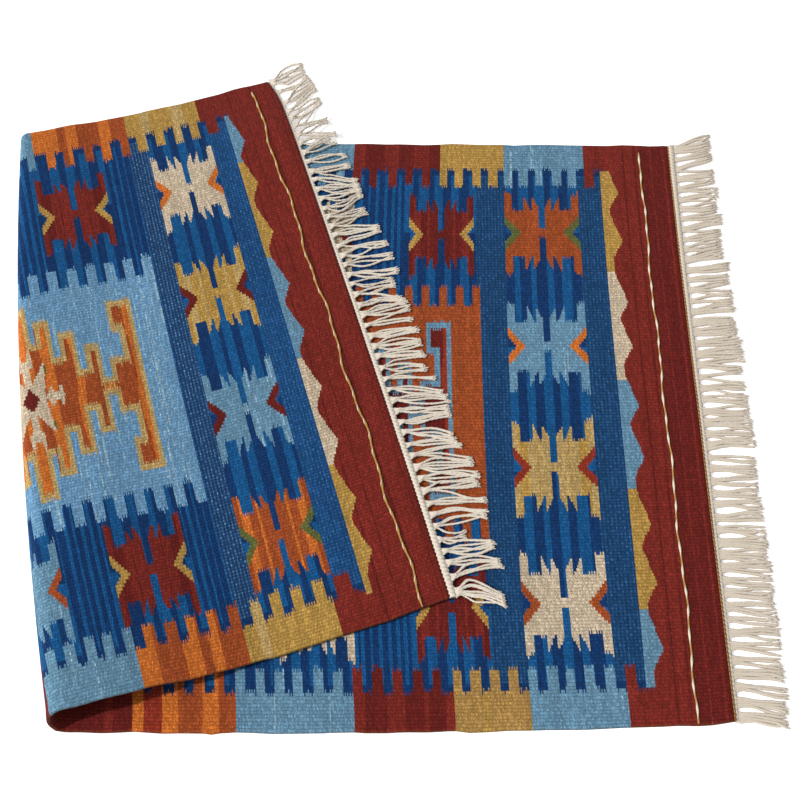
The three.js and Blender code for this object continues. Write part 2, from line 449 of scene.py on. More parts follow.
MAROON_RED = (Wool.MAROON, Wool.RED)
ORANGE_RUST = (Wool.ORANGE, Wool.RUST)
OCHRES = (Wool.OCHRE, Wool.PALE_OCHRE)
SIDE_BLOCKS = (
    BorderBlock(61.0, 1, Stripes((Wool.RED,), (83.0,)), comb=(64.0, 83.0)),
    BorderBlock(83.0, 5, Stripes((Wool.SKY,), (160.5,))),
    BorderBlock(
        160.5, 4, Stripes((Wool.OCHRE,), (221.5,)),
        Stripes((Wool.DEEP_OCHRE, Wool.OCHRE), (191.5, 198.0, 221.5)),
    ),
    BorderBlock(
        221.5, 5, Stripes(MAROON_RED, (232.0, 246.0, 261.0, 274.0, 293.0, 304.0)),
        Stripes((Wool.RED, Wool.MAROON), (228.0, 242.0, 246.0, 262.0, 277.0, 295.0, 304.0)),
    ),
    BorderBlock(304.0, 6, Stripes((Wool.SKY,), (400.0,))),
    BorderBlock(
        400.0, 5,
        Stripes(
            (Wool.RUST, Wool.ORANGE, Wool.RUST, Wool.ORANGE, Wool.BRICK, Wool.ORANGE),
            (414.0, 427.0, 447.0, 460.0, 475.0, 484.0),
        ),
    ),
    BorderBlock(484.0, 5, Stripes(MAROON_RED, (500.0, 507.0, 568.0))),
    BorderBlock(568.0, 5, Stripes((Wool.SKY,), (645.5,))),
    BorderBlock(
        645.5, 5, Stripes(ORANGE_RUST, (669.0, 677.0, 688.0, 709.0, 720.0, 735.5)),
        Stripes(ORANGE_RUST, (661.0, 683.0, 697.0, 705.0, 714.0, 735.5)), tooth=9.0,
    ),
    BorderBlock(
        735.5, 4, Stripes(OCHRES, (751.0, 760.0, 782.0, 795.0, 811.0)),
        Stripes(OCHRES, (746.0, 754.0, 811.0)), tooth=9.0, comb=(735.5, 807.0),
    ),
    BorderBlock(811.0, 1, Stripes((Wool.RED,), (842.0,)), tooth=12.0, comb=(811.0, 828.0)),
)


@dataclass(frozen=True)
class Spike:
    """A spike of the motif: its span, how far it reaches where it starts, its slope and its added length."""

    low: float
    high: float
    reach: float
    slope: float
    longer: float


@dataclass(frozen=True)
class Motif:
    """The mirrored motif with long arms, spikes and a notch at each side."""

    along: float
    across: float
    width: float
    body: Wool
    other: Wool
    accent: Wool
    seed: int
    half: float = 34.5
    slit: float = 3.2
    bridge: float = 5.0
    spike: float = 41.0
    spikes: tuple[Spike, Spike] = (Spike(3.2, 9.4, 31.0, 2.1, 0.0), Spike(10.4, 16.6, 27.0, 2.7, 1.0))
    shoulder: float = 27.5
    arm: float = 48.0
    arm_start: float = 28.0
    arm_slope: float = 0.5
    notch: float = 20.0
    notch_tip: float = 19.5
    notch_uneven: float = 0.6
    accent_start: float = 27.6
    accent_slope: float = 1.4
    uneven: float = 2.0
    arm_prong: float = 2.8
    shoulder_prong: float = 1.8
    spike_prong: float = 0.6
    streaks: tuple[Span, ...] = ((12.5, 14.5), (22.0, 30.0))

    # The quarters' directions along and across
    QUARTERS = ((-1.0, -1.0), (-1.0, 1.0), (1.0, -1.0), (1.0, 1.0))

    def weave(self, chart: Chart) -> None:
        """Weaves the motif into the chart.

        Args:
            chart: The chart that takes the motif.
        """
        luck = np.random.default_rng(Seed.MOTIFS + self.seed)
        for number, (side, end) in enumerate(self.QUARTERS):
            jitter = luck.uniform(-1.0, 1.0, 4)
            aside = (chart.along - self.along) * side * (self.half / (self.width / 2.0))
            away = (chart.across - self.across) * end
            self.quarter(chart, aside, away, jitter, len(self.QUARTERS) * self.seed + number)

    def quarter(
        self, chart: Chart, aside: np.ndarray, away: np.ndarray, jitter: np.ndarray, seed: int
    ) -> None:
        """Weaves one quarter of the motif.

        Args:
            chart: The chart that takes it.
            aside: Distance from the motif's middle along the cloth, in its own scale.
            away: Distance from its middle across the cloth.
            jitter: Four small differences from the drawn shape, from -1 to 1.
            seed: Makes this quarter's prongs differ from the next.
        """
        reach = np.full(aside.shape, self.shoulder + jitter[1])
        for spike in self.spikes:
            longest = self.spike + self.uneven * jitter[0] + spike.longer
            rising = np.minimum(longest, spike.reach + (aside - spike.low) * spike.slope)
            reach = np.where((aside > spike.low) & (aside <= spike.high), rising, reach)
        arm = aside > self.arm_start
        longest = self.arm + self.uneven * jitter[2]
        reach = np.where(arm, longest - self.arm_slope * (self.half - aside), reach)
        beside_arm = np.where(aside > self.spikes[-1].high, self.shoulder_prong, self.spike_prong)
        reach = reach + chart.prongs(1.0, seed) * np.where(arm, self.arm_prong, beside_arm)
        bridge = self.bridge + chart.prongs(self.shoulder_prong, seed + 1)
        reach = np.where(aside <= self.slit, bridge, reach)
        tip = self.notch_tip + self.notch_uneven * jitter[3]
        notch = (aside - tip) * self.notch / (self.half - tip)
        quarter = (aside >= 0.0) & (aside <= self.half) & (away >= 0.0)
        body = quarter & (away < reach) & (away >= notch)
        accent = quarter & (away < notch) & (away >= (aside - self.accent_start) * self.accent_slope)
        streak = np.logical_or.reduce([(aside > low) & (aside < high) for low, high in self.streaks])
        chart.paint(body, self.body)
        chart.paint(body & streak, self.other)
        chart.paint(accent, self.accent)


@dataclass(frozen=True)
class MotifColumn:
    """The motifs at one place along the cloth: their width, their places across it and their yarns."""

    along: float
    width: float
    across: tuple[float, ...]
    yarns: tuple[tuple[Wool, Wool, Wool], ...]


MOTIF_COLUMNS = (
    MotifColumn(
        125.0, 69.0, (108.0, 236.0, 362.0, 491.0),
        (
            (Wool.RUST, Wool.RUST, Wool.GREEN),
            (Wool.SKY, Wool.SKY, Wool.ORANGE),
            (Wool.PALE_OCHRE, Wool.OCHRE, Wool.BRICK),
            (Wool.CREAM, Wool.CREAM, Wool.RUST),
        ),
    ),
    MotifColumn(
        783.5, 63.0, (111.0, 240.0, 369.0, 497.0),
        (
            (Wool.CREAM, Wool.CREAM, Wool.ORANGE),
            (Wool.OCHRE, Wool.PALE_OCHRE, Wool.MAROON),
            (Wool.SKY, Wool.SKY, Wool.MAROON),
            (Wool.RUST, Wool.ORANGE, Wool.GREEN),
        ),
    ),
    MotifColumn(219.0, 60.0, (110.0, 493.0), ((Wool.MAROON, Wool.RED, Wool.OCHRE),) * 2),
    MotifColumn(332.0, 62.0, (110.0, 493.0), ((Wool.CREAM, Wool.CREAM, Wool.MAROON),) * 2),
    MotifColumn(450.0, 62.0, (110.0, 493.0), ((Wool.OCHRE, Wool.PALE_OCHRE, Wool.MAROON),) * 2),
    MotifColumn(569.0, 64.0, (113.0, 499.0), ((Wool.SKY, Wool.SKY, Wool.RUST),) * 2),
    MotifColumn(673.0, 64.0, (113.0, 499.0), ((Wool.RED, Wool.MAROON, Wool.OCHRE),) * 2),
)


def motifs() -> list[Motif]:
    """Lists every motif of the rug.

    Returns:
        The motifs, in the order in which they are woven.
    """
    made: list[Motif] = []
    for column in MOTIF_COLUMNS:
        for across, yarns in zip(column.across, column.yarns):
            made.append(Motif(column.along, across, column.width, *yarns, seed=len(made)))
    return made


@dataclass(frozen=True)
class StarArm:
    """An arm of the star: half its width, how much it widens and over which span, and its reach."""

    half: float
    widening: float
    widens: Span
    reach: float

    def covers(self, beside: np.ndarray, out: np.ndarray) -> np.ndarray:
        """Tests which places lie on the arm, by their distances beside its middle line and out along it."""
        return (beside < self.half + self.widening * ramp(out, *self.widens)) & (out < self.reach)


@dataclass(frozen=True)
class StarTines:
    """Tapering tines of the star: where they stand, half their width, their taper and their span."""

    places: tuple[float, ...]
    half: float
    taper: float
    span: Span

    def covers(self, beside: np.ndarray, out: np.ndarray) -> np.ndarray:
        """Tests which places lie on the tines.

        Args:
            beside: Distances beside the star's middle line.
            out: Distances out from its middle.

        Returns:
            A mask.
        """
        off = np.minimum.reduce([np.abs(beside - place) for place in self.places])
        start, stop = self.span
        return (off < self.half - self.taper * (out - start)) & (out >= start) & (out < stop)


@dataclass(frozen=True)
class Medallion:
    """A stepped medallion in one of the two panels, with a bracket at each side."""

    along: float
    across: float
    outline: Wool
    fill: Wool
    other: Wool
    star: Wool
    heart: Wool
    line: Span = (4.4, 7.5)
    outline_prong: float = 1.8
    fill_prong: float = 2.8
    sway: float = 1.5
    sway_length: float = 15.0
    upright: StarArm = StarArm(2.8, 3.6, (31.0, 37.0), 44.0)
    level: StarArm = StarArm(2.0, 2.2, (13.0, 17.0), 28.5)
    fork: StarTines = StarTines((4.4,), 2.3, 0.17, (43.0, 55.0))
    claws: StarTines = StarTines((18.0, 26.3), 2.5, 0.15, (0.0, 11.5))
    # The star's slanting arms: half width and its slope, reach beside the middle and its slope, reach in all
    slant: tuple[float, float, float, float, float] = (12.5, 0.09, 11.0, 1.75, 37.0)
    # The green shade beside the star: from and to along, from and to across
    shade: tuple[float, float, float, float] = (15.0, 17.0, 25.0, 34.0)
    heart_size: Span = (7.5, 12.5)

    # Boxes of the medallion's quarter: from and to along, from and to across, from its middle
    BOXES = (
        (0.0, 8.5, 0.0, 103.0),
        (0.0, 13.0, 0.0, 60.0),
        (12.5, 26.5, 0.0, 83.0),
        (0.0, 34.0, 0.0, 41.0),
        (32.0, 46.0, 0.0, 66.0),
        (0.0, 53.5, 0.0, 23.0),
        (52.5, 65.5, 0.0, 48.0),
        (0.0, 74.0, 0.0, 10.0),
        (72.0, 100.0, 0.0, 30.0),
        (85.5, 100.0, 0.0, 92.0),
        (78.0, 100.0, 57.0, 92.0),
    )
    BRIGHT_BANDS = ((0.0, 6.0), (14.0, 23.0), (40.0, 47.0), (64.0, 73.0), (92.0, 98.0))

    def shape(self, aside: np.ndarray, away: np.ndarray, shrink: Span) -> np.ndarray:
        """Tests which places lie inside the medallion.

        Args:
            aside: Distance from its middle along the cloth.
            away: Distance from its middle across the cloth.
            shrink: How far inside its edges, along and across.

        Returns:
            A mask.
        """
        inside = np.ones(np.broadcast(aside, away).shape, bool)
        for shift_along in (-shrink[0], 0.0, shrink[0]):
            for shift_across in (-shrink[1], 0.0, shrink[1]):
                u, v = np.abs(aside + shift_along), np.abs(away + shift_across)
                boxes = [(u >= a0) & (u < a1) & (v >= b0) & (v < b1) for a0, a1, b0, b1 in self.BOXES]
                inside = inside & np.logical_or.reduce(boxes)
        return inside

    def weave(self, chart: Chart, seed: int) -> None:
        """Weaves the medallion into the chart.

        Args:
            chart: The chart that takes it.
            seed: Makes its prongs differ from the other medallion's.
        """
        aside = chart.along - self.along
        away = chart.across - self.across
        outer = away + np.sign(away) * chart.prongs(self.outline_prong, seed)
        inner = away + np.sign(away) * chart.prongs(self.fill_prong, seed + 1)
        chart.paint(self.shape(aside, outer, (0.0, 0.0)), self.outline)
        inside = self.shape(aside, inner, self.line)
        chart.paint(inside, self.fill)
        swayed = np.abs(aside + self.sway * np.sin(away / self.sway_length))
        for low, high in self.BRIGHT_BANDS:
            chart.paint(inside & (swayed >= low) & (swayed < high), self.other)
        self.weave_star(chart, np.abs(aside), np.abs(away))

    def weave_star(self, chart: Chart, u: np.ndarray, v: np.ndarray) -> None:
        """Weaves the eight-armed star in the medallion's middle.

        Args:
            chart: The chart that takes it.
            u: Distance from the middle along the cloth.
            v: Distance from the middle across the cloth.
        """
        half, half_slope, reach, reach_slope, stop = self.slant
        slant = (u < half + half_slope * v) & (v < reach + reach_slope * u) & (v < stop)
        arms = self.upright.covers(u, v) | self.level.covers(v, u)
        tines = self.fork.covers(u, v) | self.claws.covers(u, v)
        low, high, near, far = self.shade
        chart.paint((u >= low) & (u < high) & (v > near) & (v < far), Wool.GREEN)
        chart.paint(arms | tines | slant, self.star)
        chart.paint(u / self.heart_size[0] + v / self.heart_size[1] < 1.0, self.heart)


@dataclass(frozen=True)
class Panel:
    """A panel with a comb of teeth on its far and its near side."""

    along: Span
    across: Span
    yarn: Wool
    tooth: float
    pitch: float
    tooth_length: float
    from_end: bool
    medallion: Medallion
    prong: float = 2.6
    overlap: float = 4.0
    tooth_seeds: int = 7
    medallion_seed: int = 5

    def weave(self, chart: Chart, seed: int) -> None:
        """Weaves the panel and its medallion into the chart.

        Args:
            chart: The chart that takes it.
            seed: Makes its prongs differ from the other panel's.
        """
        chart.block(self.along, self.across, self.yarn, (self.prong, self.prong), seed)
        (start, end), (far, near) = self.along, self.across
        slack = chart.pick / 2.0
        for k in range(int((end - start) / self.pitch) + 1):
            low = end - k * self.pitch - self.tooth if self.from_end else start + k * self.pitch
            high = low + self.tooth
            if low < start - slack or high > end + slack:
                continue
            first = seed + self.tooth_seeds * k
            tooth = (far - self.tooth_length, far + self.overlap)
            chart.block((low, high), tooth, self.yarn, (self.prong, 0.0), first + 1)
            tooth = (near - self.overlap, near + self.tooth_length)
            chart.block((low, high), tooth, self.yarn, (0.0, self.prong), first + 2)
        self.medallion.weave(chart, seed + self.medallion_seed)


PANELS = (
    Panel(
        (184.0, 440.0), (191.0, 411.0), Wool.RUST, 7.0, 15.2, 21.0, False,
        Medallion(311.0, 301.5, Wool.SKY, Wool.MAROON, Wool.BRICK, Wool.CREAM, Wool.MAROON),
    ),
    Panel(
        (476.0, 732.5), (199.0, 424.0), Wool.BRIGHT_SKY, 9.0, 17.2, 22.0, True,
        Medallion(605.0, 313.0, Wool.PALE_OCHRE, Wool.RUST, Wool.ORANGE, Wool.CREAM, Wool.MAROON),
    ),
)


@dataclass(frozen=True)
class ScallopRun:
    """A stretch of the scalloped band in one colour."""

    start: float
    end: float
    yarn: Wool


@dataclass(frozen=True)
class ScallopBand:
    """The scalloped band near one end of the rug."""

    straight: float
    trough: float
    crest: float
    crests: tuple[float, ...]
    runs: tuple[ScallopRun, ...]
    far_slope: float = 31.0
    near_slope: float = 18.0
    fullness: float = 1.1

    def weave(self, chart: Chart) -> None:
        """Weaves the band into the chart.

        Args:
            chart: The chart that takes it.
        """
        rise = np.zeros(chart.across.shape)
        for crest in self.crests:
            off = chart.across - crest
            rise = np.maximum(rise, 1.0 - np.where(off < 0.0, -off / self.far_slope, off / self.near_slope))
        edge = self.trough + (self.crest - self.trough) * np.clip(rise, 0.0, 1.0) ** self.fullness
        low, high = np.minimum(self.straight, edge), np.maximum(self.straight, edge)
        inside = (chart.along > low) & (chart.along < high)
        for run in self.runs:
            chart.paint(inside & (chart.across > run.start) & (chart.across < run.end), run.yarn)


SCALLOPS = (
    ScallopBand(
        68.0, 60.5, 51.5, (60.0, 118.0, 188.0, 237.0, 300.0, 353.0, 419.0, 474.0, 534.0),
        (
            ScallopRun(33.0, 152.0, Wool.OCHRE),
            ScallopRun(152.0, 272.0, Wool.CREAM),
            ScallopRun(272.0, 385.0, Wool.SKY),
            ScallopRun(385.0, 499.0, Wool.OCHRE),
            ScallopRun(499.0, 566.0, Wool.SKY),
        ),
    ),
    ScallopBand(
        837.0, 842.5, 851.0, (70.0, 125.0, 187.0, 250.0, 306.0, 368.0, 426.0, 485.0, 536.0),
        (
            ScallopRun(33.0, 97.0, Wool.SKY),
            ScallopRun(97.0, 217.0, Wool.OCHRE),
            ScallopRun(217.0, 332.0, Wool.SKY),
            ScallopRun(332.0, 448.0, Wool.CREAM),
            ScallopRun(448.0, 572.0, Wool.OCHRE),
        ),
    ),
)


@dataclass
class Pattern:
    """The whole design of the rug, woven into a chart."""

    chart: Chart = field(default_factory=Chart)
    border: Span = (32.0, 567.0)
    ground: Span = (40.0, 560.0)
    prong: float = 2.6
    # Stripes in the blue ground on each side of a motif's middle, as far as its arms reach
    bands: tuple[float, ...] = (-34.5, -26.5, -16.0, -9.0, -2.5, 6.0, 13.0, 21.0, 28.0, 34.5)
    band_uneven: float = 1.5
    column_gaps: tuple[float, ...] = (38.0, 109.0, 238.0, 365.0, 494.0, 562.0)
    flecked: tuple[tuple[Wool, Span], ...] = (
        (Wool.QUIET_FLECKS, (66.0, 91.0)), (Wool.QUIET_FLECKS, (160.0, 187.0)),
        (Wool.QUIET_FLECKS, (438.0, 478.0)), (Wool.BRIGHT_FLECKS, (733.0, 752.0)),
        (Wool.SOFT_FLECKS, (815.0, 838.0)),
    )
    fine_stripes: Span = (190.0, 735.0)
    fine_stripe: Span = (1.6, 3.4)
    fine_stripe_pitch: Span = (6.0, 8.8)
    # The red ends: each field's span, its yarn and the yarn of its faint stripes
    ends: tuple[tuple[Span, Wool, Wool], ...] = (
        ((0.0, 29.0), Wool.MAROON, Wool.RED),
        ((29.0, 61.0), Wool.RED, Wool.MAROON),
        ((842.0, 900.0), Wool.RED, Wool.MAROON),
    )
    end_first_gap: Span = (2.0, 6.0)
    end_last_gap: float = 5.0
    end_stripe: Span = (1.0, 3.2)
    end_gap: Span = (8.0, 17.0)
    pale_picks: int = 120
    pale_places: Span = (70.0, 830.0)
    pale_starts: Span = (-60.0, 560.0)
    pale_lengths: Span = (30.0, 220.0)
    pale_share: float = 0.6
    pale_width: float = 0.6
    # Where paler picks come close together: the place along the cloth, how far they scatter, how many
    pale_clusters: tuple[tuple[float, float, int], ...] = (
        (717.0, 7.0, 26), (783.0, 16.0, 16), (125.0, 12.0, 5), (492.0, 8.0, 12), (340.0, 20.0, 12),
    )
    tooth_length: float = 20.0
    tooth_uneven: float = 0.8
    tooth_overlap: float = 4.0
    uneven: float = 1.6
    uneven_picks: int = 8
    panel_seeds: int = 200
    block_seeds: int = 40
    side_seeds: int = 20

    def weave(self) -> Chart:
        """Weaves every part of the design, the ground first.

        Returns:
            The finished chart.
        """
        self.weave_ground()
        for number, panel in enumerate(PANELS):
            panel.weave(self.chart, Seed.PANELS + self.panel_seeds * number)
        for motif in motifs():
            motif.weave(self.chart)
        self.weave_ends()
        for number, block in enumerate(SIDE_BLOCKS):
            first = Seed.SIDE_BLOCKS + self.block_seeds * number
            self.weave_side_block(block, True, first + self.side_seeds)
            self.weave_side_block(block, False, first)
        for band in SCALLOPS:
            band.weave(self.chart)
        self.weave_pale_picks()
        return self.chart

    def weave_ground(self) -> None:
        """Weaves the blue ground: fine stripes, wider bands round the motifs and flecked stripes."""
        chart = self.chart
        luck = np.random.default_rng(Seed.FINE_STRIPES)
        start, stop = self.fine_stripes
        while start < stop:
            chart.block((start, start + luck.uniform(*self.fine_stripe)), self.ground, Wool.MID_BLUE)
            start += luck.uniform(*self.fine_stripe_pitch)
        columns = sorted({motif.along for motif in motifs()})
        uneven = self.band_uneven
        for number, along in enumerate(columns):
            luck = np.random.default_rng(Seed.BANDS + number)
            for gap, across in enumerate(zip(self.column_gaps, self.column_gaps[1:])):
                edges = [along + band + luck.uniform(-uneven, uneven) for band in self.bands]
                for k, span in enumerate(zip(edges, edges[1:])):
                    chart.block(span, across, Wool.MID_BLUE if (k + gap) % 2 == 0 else Wool.NAVY)
        for yarn, span in self.flecked:
            chart.block(span, self.ground, yarn)

    def weave_ends(self) -> None:
        """Weaves the two red end borders with their faint stripes."""
        luck = np.random.default_rng(Seed.ENDS)
        whole = (0.0, self.chart.width)
        for span, base, other in self.ends:
            self.chart.block(span, whole, base)
            start = span[0] + luck.uniform(*self.end_first_gap)
            while start < span[1] - self.end_last_gap:
                end = start + luck.uniform(*self.end_stripe)
                self.chart.block((start, end), whole, other)
                start = end + luck.uniform(*self.end_gap)

    def weave_pale_picks(self) -> None:
        """Weaves the paler picks that show as dotted lines in the light blue."""
        chart = self.chart
        luck = np.random.default_rng(Seed.PALE_PICKS)
        places = list(luck.uniform(*self.pale_places, self.pale_picks))
        for middle, scatter, count in self.pale_clusters:
            places += list(luck.normal(middle, scatter, count))
        for at in places:
            low = luck.uniform(*self.pale_starts)
            high = low + luck.uniform(*self.pale_lengths)
            shows = luck.random(chart.across.shape) < self.pale_share
            line = (np.abs(chart.along - at) < self.pale_width) & (chart.across > low) & (chart.across < high)
            blue = np.isin(chart.yarns, (Wool.SKY.number, Wool.BRIGHT_SKY.number))
            chart.paint(line & shows & blue, Wool.PALE_SKY)

    def weave_side_block(self, block: BorderBlock, is_far: bool, seed: int) -> None:
        """Weaves one block along a selvedge and its comb.

        Args:
            block: The block.
            is_far: Whether it is the one at the far selvedge.
            seed: Makes its edges differ from those of the other blocks.
        """
        chart = self.chart
        luck = np.random.default_rng(seed)
        stripes = (block.far if is_far or block.near is None else block.near).numbers(chart.along[0])
        steps = luck.uniform(-self.uneven, self.uneven, chart.picks // self.uneven_picks + 1)
        steps = steps.repeat(self.uneven_picks)[None, : chart.picks]
        inner = self.border[0] if is_far else self.border[1]
        body = (0.0, inner + steps) if is_far else (inner + steps, chart.width)
        prongs = (0.0, self.prong) if is_far else (self.prong, 0.0)
        chart.block(block.span, body, stripes, prongs, seed)
        low, high = block.comb or block.span
        pitch = (high - low) / block.teeth
        uneven, overlap = self.tooth_uneven, self.tooth_overlap
        for k in range(block.teeth):
            end = high - k * pitch + luck.uniform(-uneven, uneven) * (k > 0)
            reach = self.tooth_length + luck.uniform(-self.uneven, self.uneven)
            start = end - (block.tooth + luck.uniform(-uneven, uneven))
            span = (inner - overlap, inner + reach) if is_far else (inner - reach, inner + overlap)
            chart.block((start, end), span, stripes, prongs, seed + k + 1)


@dataclass(frozen=True)
class Cloth:
    """The woven sheet, cut from the chart into ribs and runs of one colour."""

    form: FoldedForm
    chart: Chart
    name: str = "kilim_cloth"
    edge_strip: float = 0.9
    edge_strip_thickness: float = 0.75
    edge_thinning: float = 0.5
    edge_dye: Colour = linear(104, 84, 46)
    edge_dye_share: Span = (0.6, 0.15)
    # Picks between two cuts across a rib, and how far the close cuts reach past the loop on either side
    cuts_on_flat: int = 30
    cuts_on_loop: int = 2
    cuts_past_loop: int = 10
    cuts_at_ends: tuple[int, int] = (2, 5)
    before_loop: float = 14.0
    after_loop: float = 16.0
    loop_margins: Span = (4.0, 6.0)
    # How far the pattern leans between the far and the near side, at distances along the cloth
    drift: tuple[Span, ...] = (
        (0.0, 0.0), (84.0, -3.0), (160.0, -5.0), (300.0, -10.0), (450.0, -12.0), (645.0, -12.0),
        (735.0, -16.0), (790.0, -14.0), (838.0, -6.0), (876.0, 0.0), (900.0, 0.0),
    )
    drift_width: float = 535.0
    # The selvedges' unevenness: how deep it goes in, its depth and lengths, and those of its small lumps
    wander_reach: float = 14.0
    wander: float = 0.8
    wander_lengths: Span = (9.0, 29.0)
    wander_shift: float = 2.0
    lump: float = 0.9
    lump_share: float = 0.2
    lump_lengths: tuple[float, float, float] = (4.1, 17.0, 11.0)

    def strips(self) -> tuple[np.ndarray, list[int]]:
        """Divides the width into strips.

        Returns:
            The lines between the strips, and each strip's rib on the chart.
        """
        inner = np.arange(1, self.chart.ribs) * self.chart.rib
        width = self.chart.width
        lines = np.concatenate(([0.0, self.edge_strip], inner, [width - self.edge_strip, width]))
        ribs = [0, *range(self.chart.ribs), self.chart.ribs - 1]
        return lines, ribs

    def cuts(self, rib: int) -> list[int]:
        """Lists the picks where a rib's faces end: at each change of yarn and where the cloth bends.

        Args:
            rib: The rib on the chart.

        Returns:
            The picks, in order.
        """
        picks = self.chart.picks
        changes = set((np.nonzero(np.diff(self.chart.yarns[rib]))[0] + 1).tolist())
        across = (rib + 0.5) * self.chart.rib
        _, _, side = self.form.flat(np.array(self.form.fold_distance), np.array(across))
        half, start, settle = (float(x) for x in self.form.loop(side))
        turn = self.form.fold_turn
        begin = (start - across * math.sin(turn)) / math.cos(turn) - self.before_loop
        finish = begin + math.pi * half + self.after_loop
        before, after = self.loop_margins
        bends = {0, picks, *range(0, picks, self.cuts_on_flat)}
        bends |= {p for p in range(0, picks, self.cuts_on_loop) if begin - before < p < finish + after}
        bends |= {p for p in range(0, picks, self.cuts_past_loop) if finish < p < finish + settle}
        bends |= {*self.cuts_at_ends, *(picks - p for p in self.cuts_at_ends)}
        return sorted(changes | bends)

    def build(self) -> bpy.types.Object:
        """Makes the sheet as a mesh on the fold's middle surface, with its thickness and yarns.

        Returns:
            The cloth's object.
        """
        mesh = bmesh.new()
        self.weave_faces(mesh)
        cloth = added(self.name, mesh_data(self.name, mesh))
        cloth.vertex_groups.new(name="full")
        solid = cloth.modifiers.new("thickness", "SOLIDIFY")
        solid.thickness = self.form.thickness * MM
        solid.offset = 0.0
        solid.vertex_group = "full"
        solid.thickness_vertex_group = self.edge_thinning
        solid.use_quality_normals = True
        return cloth

    def weave_faces(self, mesh: bmesh.types.BMesh) -> None:
        """Makes a face for each run of one yarn on each rib.

        Args:
            mesh: The mesh that takes them.
        """
        lines, ribs = self.strips()
        cuts = {rib: self.cuts(rib) for rib in set(ribs)}
        wools = {wool.number: wool for wool in Wool}
        dye = mesh.faces.layers.float_color.new("dye")
        uv = mesh.loops.layers.uv.new("weave")
        flat_place: dict[bmesh.types.BMVert, Span] = {}
        rows: list[dict[int, bmesh.types.BMVert]] = []
        for number, across in enumerate(lines):
            beside = {ribs[max(number - 1, 0)], ribs[min(number, len(ribs) - 1)]}
            picks = sorted(set().union(*(cuts[rib] for rib in beside)))
            rows.append(self.line_of_vertices(mesh, np.array(picks), float(across), flat_place))
        for number, rib in enumerate(ribs):
            left, right = rows[number], rows[number + 1]
            left_picks, right_picks = list(left), list(right)
            i = j = 0
            for low, high in zip(cuts[rib], cuts[rib][1:]):
                i_end, j_end = left_picks.index(high, i), right_picks.index(high, j)
                ring = [left[p] for p in left_picks[i : i_end + 1]]
                ring += [right[p] for p in reversed(right_picks[j : j_end + 1])]
                i, j = i_end, j_end
                face = mesh.faces.new(ring)
                face.smooth = True
                wool = wools[int(self.chart.yarns[rib, low])]
                colour = np.array(wool.dye)
                if number in (0, len(ribs) - 1):
                    colour += (np.array(self.edge_dye) - colour) * self.edge_dye_share[number > 0]
                face[dye] = (*colour, wool.flecks)
                for corner in face.loops:
                    corner[uv].uv = [place * MM for place in flat_place[corner.vert]]

    def line_of_vertices(
        self,
        mesh: bmesh.types.BMesh,
        picks: np.ndarray,
        across: float,
        flat_place: dict[bmesh.types.BMVert, Span],
    ) -> dict[int, bmesh.types.BMVert]:
        """Places the vertices of one line between two strips, with their shares of the full thickness.

        Args:
            mesh: The mesh that takes them.
            picks: The picks where the line has a vertex.
            across: Where the line lies across the cloth.
            flat_place: Takes each vertex's place on the flat cloth.

        Returns:
            The vertices by pick.
        """
        thick = mesh.verts.layers.deform.verify()
        along = picks * self.chart.pick
        lean = np.interp(along, *np.array(self.drift).T)
        moved = along + lean * (across - self.chart.width / 2.0) / self.drift_width
        from_edge = min(across, self.chart.width - across)
        share = self.edge_strip_thickness if from_edge < self.chart.rib else 1.0
        hold = fade(from_edge, self.wander_reach)
        points = self.form.place(moved, across + hold * self.selvedge_wander(moved, across))
        line = {}
        for pick, at, point in zip(picks.tolist(), along, points):
            vert = mesh.verts.new(point)
            vert[thick][0] = 0.0 if from_edge == 0.0 or pick in (0, self.chart.picks) else share
            flat_place[vert] = (float(at), across)
            line[pick] = vert
        return line

    def selvedge_wander(self, along: np.ndarray, across: float) -> np.ndarray:
        """Gives the small unevenness of a selvedge.

        Args:
            along: Distances along the cloth.
            across: Which selvedge.

        Returns:
            How far each place is moved across.
        """
        is_far = across < self.chart.width / 2.0
        phase = 0.0 if is_far else self.wander_shift
        short, long = self.wander_lengths
        slow = self.wander * np.sin(along / short + phase) * np.sin(along / long + 2.0 * phase)
        short, long, apart = self.lump_lengths
        crests = np.sin(along / short + phase + np.sin(along / long)) - (1.0 - self.lump_share)
        lumps = self.lump * np.clip(crests, 0.0, self.lump_share) / self.lump_share
        lumps = lumps * np.clip(np.sin(along / apart + phase), 0.0, 1.0)
        return slow - lumps if is_far else slow + lumps


